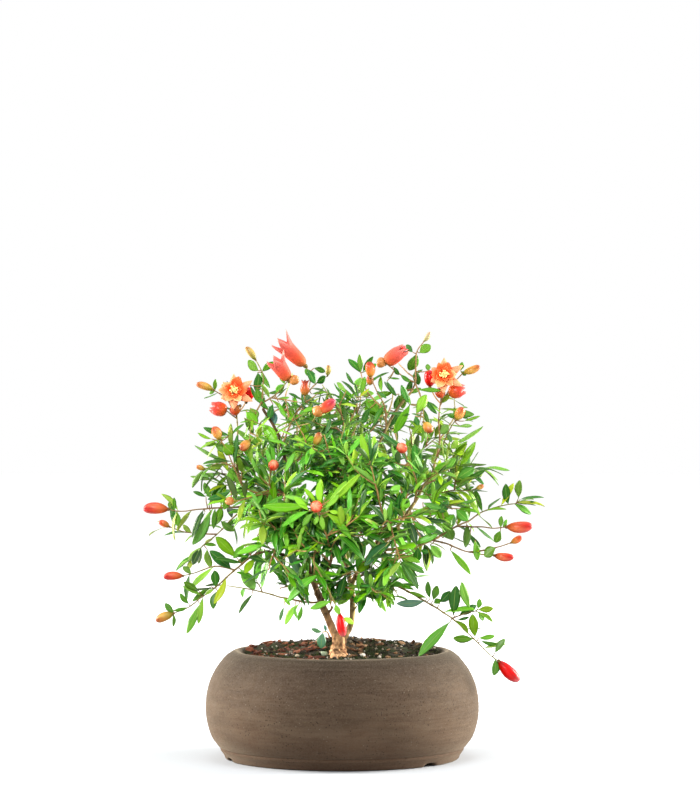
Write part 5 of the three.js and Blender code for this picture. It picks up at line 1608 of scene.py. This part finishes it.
# Buds that only the looks have, without names.
SMALL_BUDS = [
    ((-141, 40, 184.5), (-0.9, 0, 0.45), 10, 5.5, ORANGE),
    ((-110, -16, 233.5), (-1, 0, 0.35), 7.5, 4.2, YELLOW),
    ((134, -52, 176.7), (0.85, 0, 0.5), 10, 5.5, ORANGE),
    ((107, -25, 218.5), (0.9, 0, 0.4), 7, 4, YELLOW),
    ((-87, -56, 209.6), (-0.35, -1, 0.1), 11, 7, GOLD),
    ((-12, 28, 308), (0.1, 0, 1), 9, 4.5, GREEN),
    ((66, 8, 336), (0.55, 0, 0.8), 9.5, 4.2, PALE),
]
# Buds beside the open flowers: base and tip as they come in the picture, depth, width, and what bears them.
FLOWER_BUDS = [
    (246, 402, 249, 387, 17, 10.0, DEEP_RED, (-85, 8, 279)),
    (240, 406, 231, 414, 3, 8.8, EMBER, (-85, 7, 277)),
    (430, 387, 429, 370, 18, 9.6, DEEP_RED, (79, 12, 287)),
    (444, 389, 437, 397, 4, 8.8, EMBER, (80, 12, 290)),
]
# Along a bud: where its rings lie, and how wide it is there.
BUD_ALONG = np.array([0.0, 0.03, 0.09, 0.18, 0.30, 0.42, 0.54, 0.66, 0.76, 0.85, 0.92, 0.965, 0.99])
BUD_WIDTH = np.array([0.16, 0.28, 0.48, 0.70, 0.88, 0.97, 1.0, 0.97, 0.90, 0.77, 0.58, 0.38, 0.18])
# Outlines of opening flowers, as shares: (radius, height, how deeply the lobes are cut there)
OPENING_OUTLINE = [
    (0.12, 0, 0), (0.30, 0.05, 0), (0.43, 0.15, 0), (0.50, 0.30, 0), (0.52, 0.45, 0), (0.51, 0.58, 0),
    (0.48, 0.70, 0.2), (0.44, 0.82, 0.5), (0.38, 0.92, 0.8), (0.30, 1.0, 1.0), (0.27, 1.0, 1.0),
    (0.33, 0.91, 0.8), (0.37, 0.81, 0.5), (0.38, 0.70, 0.2), (0.12, 0.66, 0)]


def stand(points, base, towards):
    """Turns points that grow along +Z to grow from base towards a direction."""
    turn = Vector((0, 0, 1)).rotation_difference(Vector(towards).normalized()).to_matrix()
    return np.asarray(points) @ np.array(turn).T + np.asarray(base, float)


def tones(colours, dim, shares):
    """Colours blended along a piece; shares says how far along each point lies."""
    stops = np.linspace(0, 1, len(colours))
    lights = np.array([linear(*c, dim) for c in colours])
    return np.stack([np.interp(shares, stops, lights[:, k]) for k in range(3)], axis=-1)


def capped_rings(shape, rings, colours, base, towards):
    """Rings of points joined into one closed body, placed on a stalk's end."""
    rows, sides, _ = rings.shape
    points = np.vstack([rings.reshape(-1, 3), rings[0].mean(axis=0), rings[-1].mean(axis=0)])
    paint = np.vstack([colours.reshape(-1, 3), colours[0, 0], colours[-1, 0]])
    shape.add(stand(points, base, towards), grid_faces(rows, sides) + cap_faces(rows, sides), paint)


def bud_paint(colours, dim, t, angle, ridge):
    """Colours along a bud, with painted shade in the grooves between its sepals, and painted highlights that
    run up its sides with painted shade between them.
    """
    # Painted shade in the grooves between the sepals.
    paint = tones(colours, dim, BUD_ALONG)[:, None, :] * (1 - 0.3 * ridge)[..., None]
    # Painted highlights: pale streaks up the sides; away from them the paint is darker, as painted shade.
    painted_highlight = np.sin(np.pi * np.clip(t, 0, 0.92)) * np.abs(np.sin(1.5 * angle + 0.35 * np.sin(5 * t))) ** 4
    body = np.array(linear(*colours[2]))
    pale = 0.26 * min(1, colours[2][1] / 70)
    painted_highlight_tone = dim * (body + pale * (1 - body)) * (1.0, 0.8, 0.5)
    paint = paint * (1 - (1 - painted_highlight)[..., None] * (0.14, 0.34, 0.34))
    return np.clip(paint + (painted_highlight_tone - paint) * 0.38 * painted_highlight[..., None], 0, 1)


def add_bud(shape, base, towards, length, width, colours, sides=24, dim=0.6):
    """A closed bud: a stalk end, a waxy body and a blunt tip where its sepals meet in ridges."""
    angle = around_circle(sides)[None, :]
    t = BUD_ALONG[:, None]
    ridge = np.clip((t - 0.5) / 0.4, 0, 1) * (1 - np.abs(np.cos(3 * angle)) ** 0.6)
    r = 0.5 * width * BUD_WIDTH[:, None] * (1 - 0.13 * ridge)
    rings = rings_of(r, length * (t - 0.015 * ridge), angle)
    rings[..., 0] += 0.035 * length * np.sin(np.pi * t)
    capped_rings(shape, rings, bud_paint(colours, dim, t, angle, ridge), base, towards)
    foot = np.array([(0.4, -1.3), (0.75, -0.9), (1.0, -0.2), (0.95, 0.5), (0.55, 1.2)])
    rings = turned(foot * (0.16 * width, 0.12 * width), 10)
    capped_rings(shape, rings, np.ones(rings.shape) * linear(132, 96, 44, 0.5), base, towards)


def sized(outline, width, length):
    return [(r * width, z * length, share) for r, z, share in outline]


def add_calyx(shape, base, towards, outline, lobes, depth, flare, colours, sides=60):
    """A cup or tube with pointed lobes that spread; outline is as in the tables."""
    angle = around_circle(sides)[None, :]
    r, z, share = np.asarray(outline, float).T[:, :, None]
    part = (lobes * angle / (2 * np.pi)) % 1
    lobe = (1 - np.abs(2 * part - 1)) ** 1.3
    own_way = 1 + 0.22 * np.sin(5.1 * np.floor(lobes * angle / (2 * np.pi)) + 1.3)
    cut = (1 - lobe) * share
    low = z - depth * cut
    wide = r * (1 - flare * cut) * (1 + (own_way - 1) * share * lobe)
    paint = tones(colours, 0.62, np.clip(low / z.max(), 0, 1))
    paint = paint * (1 - 0.28 * np.clip(cut * 2 - 1.1, 0, 1))[..., None]
    capped_rings(shape, rings_of(wide, low, angle), paint, base, towards)


def make_buds():
    for name, (base, towards, length, width, colours) in BUDS.items():
        bud = Shape()
        if "flower" in name:
            outline = sized(OPENING_OUTLINE, width, length)
            add_calyx(bud, base, towards, outline, 5, 0.2 * length, 0.25, OPENING, 50)
        else:
            # Painted light: buds that point to the front, away from the side lights, get brighter paint than
            # the rest.
            add_bud(bud, base, towards, length, width, colours, dim=0.85 if towards[1] < -0.8 else 0.66)
        bud.piece(f"{name}_skin", BUD, "bud", [name])


def make_small_buds():
    buds, stalks = Shape(), Shape()
    for base, towards, length, width, colours in SMALL_BUDS:
        add_bud(buds, base, towards, length, width, colours, 14)
    for u, v, tip_u, tip_v, y, width, colours, bearer in FLOWER_BUDS:
        base = from_picture(u, v, y)
        way = from_picture(tip_u, tip_v, y) - base
        add_bud(buds, base, way, float(np.linalg.norm(way)), width, colours[:-1], 18)
        bearer = nearest(twig_paths, bearer)
        stalk = curve_through([bearer, (bearer + base) / 2 + np.array([0, 1.0, -1.5]), base], 1.2)
        tube(stalks, stalk, np.linspace(0.6, 0.5, len(stalk)), 7, TWIG_TONES[1])
    buds.piece("small_buds", BUD, "bud")
    stalks.piece("small_bud_stalks", TWIG, "leaf")


make_buds()
make_small_buds()

# ---------------------------------------------------------------- trumpets, fruits and open flowers
PETAL_WIDTHS = np.array([0.30, 0.55, 0.85, 1.0, 0.92, 0.68, 0.38, 0.06])
TRUMPET_OUTLINE = [
    (0.12, 0, 0), (0.22, 0.025, 0), (0.31, 0.07, 0), (0.37, 0.14, 0), (0.41, 0.24, 0), (0.44, 0.36, 0),
    (0.46, 0.48, 0), (0.475, 0.58, 0), (0.50, 0.66, 0), (0.56, 0.74, 0.3), (0.62, 0.83, 0.6),
    (0.69, 0.92, 0.85), (0.75, 1.0, 1.0), (0.73, 1.0, 1.0), (0.66, 0.915, 0.85), (0.59, 0.82, 0.6),
    (0.52, 0.73, 0.3), (0.46, 0.64, 0), (0.40, 0.55, 0), (0.20, 0.50, 0)]
CLOSED_OUTLINE = [
    (0.12, 0, 0), (0.27, 0.03, 0), (0.41, 0.09, 0), (0.48, 0.18, 0), (0.51, 0.30, 0), (0.52, 0.44, 0),
    (0.51, 0.57, 0), (0.49, 0.66, 0), (0.47, 0.76, 0.25), (0.46, 0.85, 0.55), (0.43, 0.93, 0.8),
    (0.37, 1.0, 1.0), (0.34, 1.0, 1.0), (0.38, 0.92, 0.8), (0.40, 0.84, 0.55), (0.38, 0.74, 0.25),
    (0.14, 0.66, 0)]
URN_OUTLINE = [
    (0.12, 0, 0), (0.34, 0.10, 0), (0.48, 0.28, 0), (0.50, 0.46, 0), (0.42, 0.64, 0), (0.32, 0.76, 0),
    (0.38, 0.88, 0.5), (0.50, 1.0, 1.0), (0.46, 1.0, 1.0), (0.30, 0.86, 0.5), (0.2, 0.8, 0)]
# The cup of an open flower, in millimetres.
CUP_OUTLINE = [
    (0.9, 0, 0), (2.4, 1.4, 0), (4.0, 3.6, 0), (4.6, 6.0, 0), (4.7, 8.4, 0), (5.2, 10.2, 0),
    (6.6, 11.6, 0.25), (9.2, 12.7, 0.5), (12.0, 13.3, 0.78), (14.6, 13.6, 1.0), (14.4, 13.9, 1.0),
    (11.6, 13.6, 0.78), (8.2, 12.9, 0.5), (6.0, 11.8, 0.25), (4.4, 11.2, 0), (2.0, 11.0, 0)]
CORAL = [(168, 104, 50), (218, 90, 50), (220, 82, 58), (222, 92, 76), (226, 106, 96), (232, 140, 126)]
ROSE = [(214, 52, 24), (236, 76, 50), (238, 100, 110)]
PEACH = [(220, 70, 22), (232, 114, 54), (238, 154, 98), (242, 186, 138)]
FLAME = [(190, 36, 12), (220, 62, 18), (228, 88, 36), (236, 134, 80)]
URN = [(132, 118, 44), (194, 112, 48), (192, 90, 42), (172, 64, 38), (114, 50, 34)]
CUP = [(170, 100, 40), (218, 84, 34), (230, 76, 40), (242, 124, 78), (252, 184, 136)]
# name: (base, direction of growth, length, width, petals that show in the mouth)
TRUMPETS = {
    "trumpet_top_left": ((-30.5, 14, 317), (-0.72, -0.1, 0.69), 30.5, 13.2, 0),
    "trumpet_left": ((-43, -14, 305.5), (-0.55, -0.2, 0.83), 21.8, 12.8, 0),
    "trumpet_right": ((35, -14, 319), (0.79, -0.2, 0.62), 20.5, 11.6, 3),
}
# (base, direction of growth, length, width)
URNS = [((-30, -9, 292.5), (0.02, 0, 1), 13, 7.5), ((22.5, -8, 301), (0, 0, 1), 10, 6)]
# (place, radius, seed)
FRUITS = [((-38.3, -16, 305.4), 3.9, 5), ((31.4, -14, 319.4), 3.9, 6), ((-19.2, -35, 280.6), 4.3, 7)]
# name: (base, direction of growth, where its redder petals are)
FLOWERS = {
    "flower_left": ((-87, 12, 292), (-0.02, -0.95, 0.3), 0.5),
    "flower_right": ((81.5, 14, 305), (0.04, -0.95, 0.3), 2.6),
}


def heading(towards):
    return np.array(Vector(towards).normalized())


def add_petal(shape, base, towards, around, reach, width, lift, fall, colours, rng):
    """A crumpled, pointed petal that stands on a flower's throat and leans out."""
    rows, cols = len(PETAL_WIDTHS), 9
    t = np.linspace(0, 1, rows)[:, None]
    a = np.linspace(-1, 1, cols)[None, :]
    seed = rng.random() * 40
    crumple = np.array([[noise.noise(Vector((4.2 * i / rows, 4.4 * j / cols, seed))) for j in range(cols)]
                        for i in range(rows)]) * 2.6 * t
    side = 0.5 * width * PETAL_WIDTHS[:, None] * a
    z = lift * np.sin(t * 1.7) - fall * t ** 2 + crumple
    z = z + 0.09 * width * a ** 2 + 0.3 * np.sin(6 * a + seed) * t ** 2
    x = reach * np.sin(t * 1.25) / math.sin(1.25) + 0.5 * crumple
    c, s = math.cos(around), math.sin(around)
    top = np.stack([x * c - side * s, x * s + side * c, z + 0 * a], axis=2).reshape(-1, 3)
    points = stand(np.concatenate([top, top - np.array([0, 0, PETAL_THICKNESS])]), base, towards)
    paint = tones(colours, 0.9, np.clip(t + 0.25 * np.abs(a) * t, 0, 1)).reshape(-1, 3)
    shape.add(points, slab_faces(rows, cols), np.clip(np.tile(paint, (2, 1)) * rng.uniform(0.9, 1.12), 0, 1))


def make_trumpet(name, base, towards, length, width, inside, rng):
    """A half-open calyx tube on a small foot, with petals in its mouth where some show."""
    flower = Shape()
    outline = sized(CLOSED_OUTLINE if inside else TRUMPET_OUTLINE, width, length)
    add_calyx(flower, base, towards, outline, 6, (0.2 if inside else 0.25) * length, 0.3, CORAL)
    mouth = np.asarray(base) + heading(towards) * length * 0.72
    for k in range(inside):
        around = k * 2.1 + rng.uniform(-0.2, 0.2)
        add_petal(flower, mouth, towards, around, 2.4, 4.4, 5.6, 0.4, ROSE, rng)
    turn = Vector((0, 0, 1)).rotation_difference(Vector(towards)).to_matrix()
    foot = np.asarray(base) - heading(towards) * 1.0
    lump(flower, foot, (1.9, 1.9, 2.4), linear(128, 112, 50, 0.5), turn, 0.1, rng, 12, 8)
    flower.piece(f"{name}_bloom", PETAL, "bud", [name])


def make_fruits():
    """Young fruits: two urns that still carry their lobes, and three round ones."""
    urns, fruits = Shape(), Shape()
    for base, towards, length, width in URNS:
        add_calyx(urns, base, towards, sized(URN_OUTLINE, width, length), 6, 1.0, 0.2, URN, 36)
    for place, size, seed in FRUITS:
        lump(fruits, place, (size, size, size * 1.05), linear(214, 140, 72, 0.52), Matrix.Identity(3), 0.22,
             random.Random(seed), 16, 12)
    urns.piece("young_urns", BUD, "bud")
    fruits.piece("young_fruits", BUD, "bud")


def make_petals(base, towards, red_side, rng):
    """Six outer petals, redder on one side, and five inner ones."""
    petals = Shape()
    for k in range(6):
        around = k * math.pi / 3 + 0.1 + rng.uniform(-0.25, 0.25)
        reach, width, lift = rng.uniform(8.6, 12.6), rng.uniform(6.6, 9.6), rng.uniform(2.4, 5.2)
        colours = FLAME if math.cos(around - red_side) > 0.2 else PEACH
        add_petal(petals, base, towards, around, reach, width, lift, rng.uniform(0.0, 1.4), colours, rng)
    for k in range(5):
        around = k * math.tau / 5 + rng.uniform(-0.2, 0.2)
        reach, width, lift = rng.uniform(5.6, 7.4), rng.uniform(5.4, 6.8), rng.uniform(4.4, 6.0)
        add_petal(petals, base, towards, around, reach, width, lift, 0.3, FLAME, rng)
    return petals


def round_axis(radius, around, z):
    return Vector((radius * math.cos(around), radius * math.sin(around), z))


def make_stamens(base, towards, rng):
    """Threads that stand in the throat, each with a small head."""
    tuft = Shape()
    for _ in range(STAMENS):
        around, spread = rng.uniform(0, 2 * math.pi), rng.uniform(0.3, 2.4)
        foot = round_axis(0.5 * spread, around, 11.1)
        head = round_axis(1.55 * spread, around, rng.uniform(15.4, 18.2))
        middle = (foot + head) / 2 + Vector((rng.uniform(-0.4, 0.4), rng.uniform(-0.4, 0.4), 0.3))
        line = stand([tuple(foot), tuple(middle), tuple(head)], base, towards)
        thread = curve_through(line, 1.2)
        tube(tuft, thread, [0.15] * len(thread), 5, linear(244, 170, 80, 0.7))
        lump(tuft, tuple(line[-1]), (0.7, 0.55, 0.8), linear(250, 222, 140, 0.8), random_turn(rng, 1.2),
             0.3, rng, 6, 5)
    return tuft


def make_flower(name, base, towards, red_side, rng):
    calyx = Shape()
    add_calyx(calyx, base, towards, CUP_OUTLINE, 6, 3.4, 0.46, CUP)
    calyx.piece(f"{name}_cup", PETAL, "bud", [f"{name}_calyx"])
    throat = np.asarray(base) + heading(towards) * 11.6
    make_petals(throat, towards, red_side, rng).piece(f"{name}_crown", PETAL, "petal", [f"{name}_petals"])
    make_stamens(base, towards, rng).piece(f"{name}_tuft", STAMEN, "stamen", [f"{name}_stamens"])


for index, (name, settings) in enumerate(TRUMPETS.items()):
    make_trumpet(name, *settings, random.Random(60 + index))
make_fruits()
for index, (name, settings) in enumerate(FLOWERS.items()):
    make_flower(name, *settings, random.Random(80 + index))
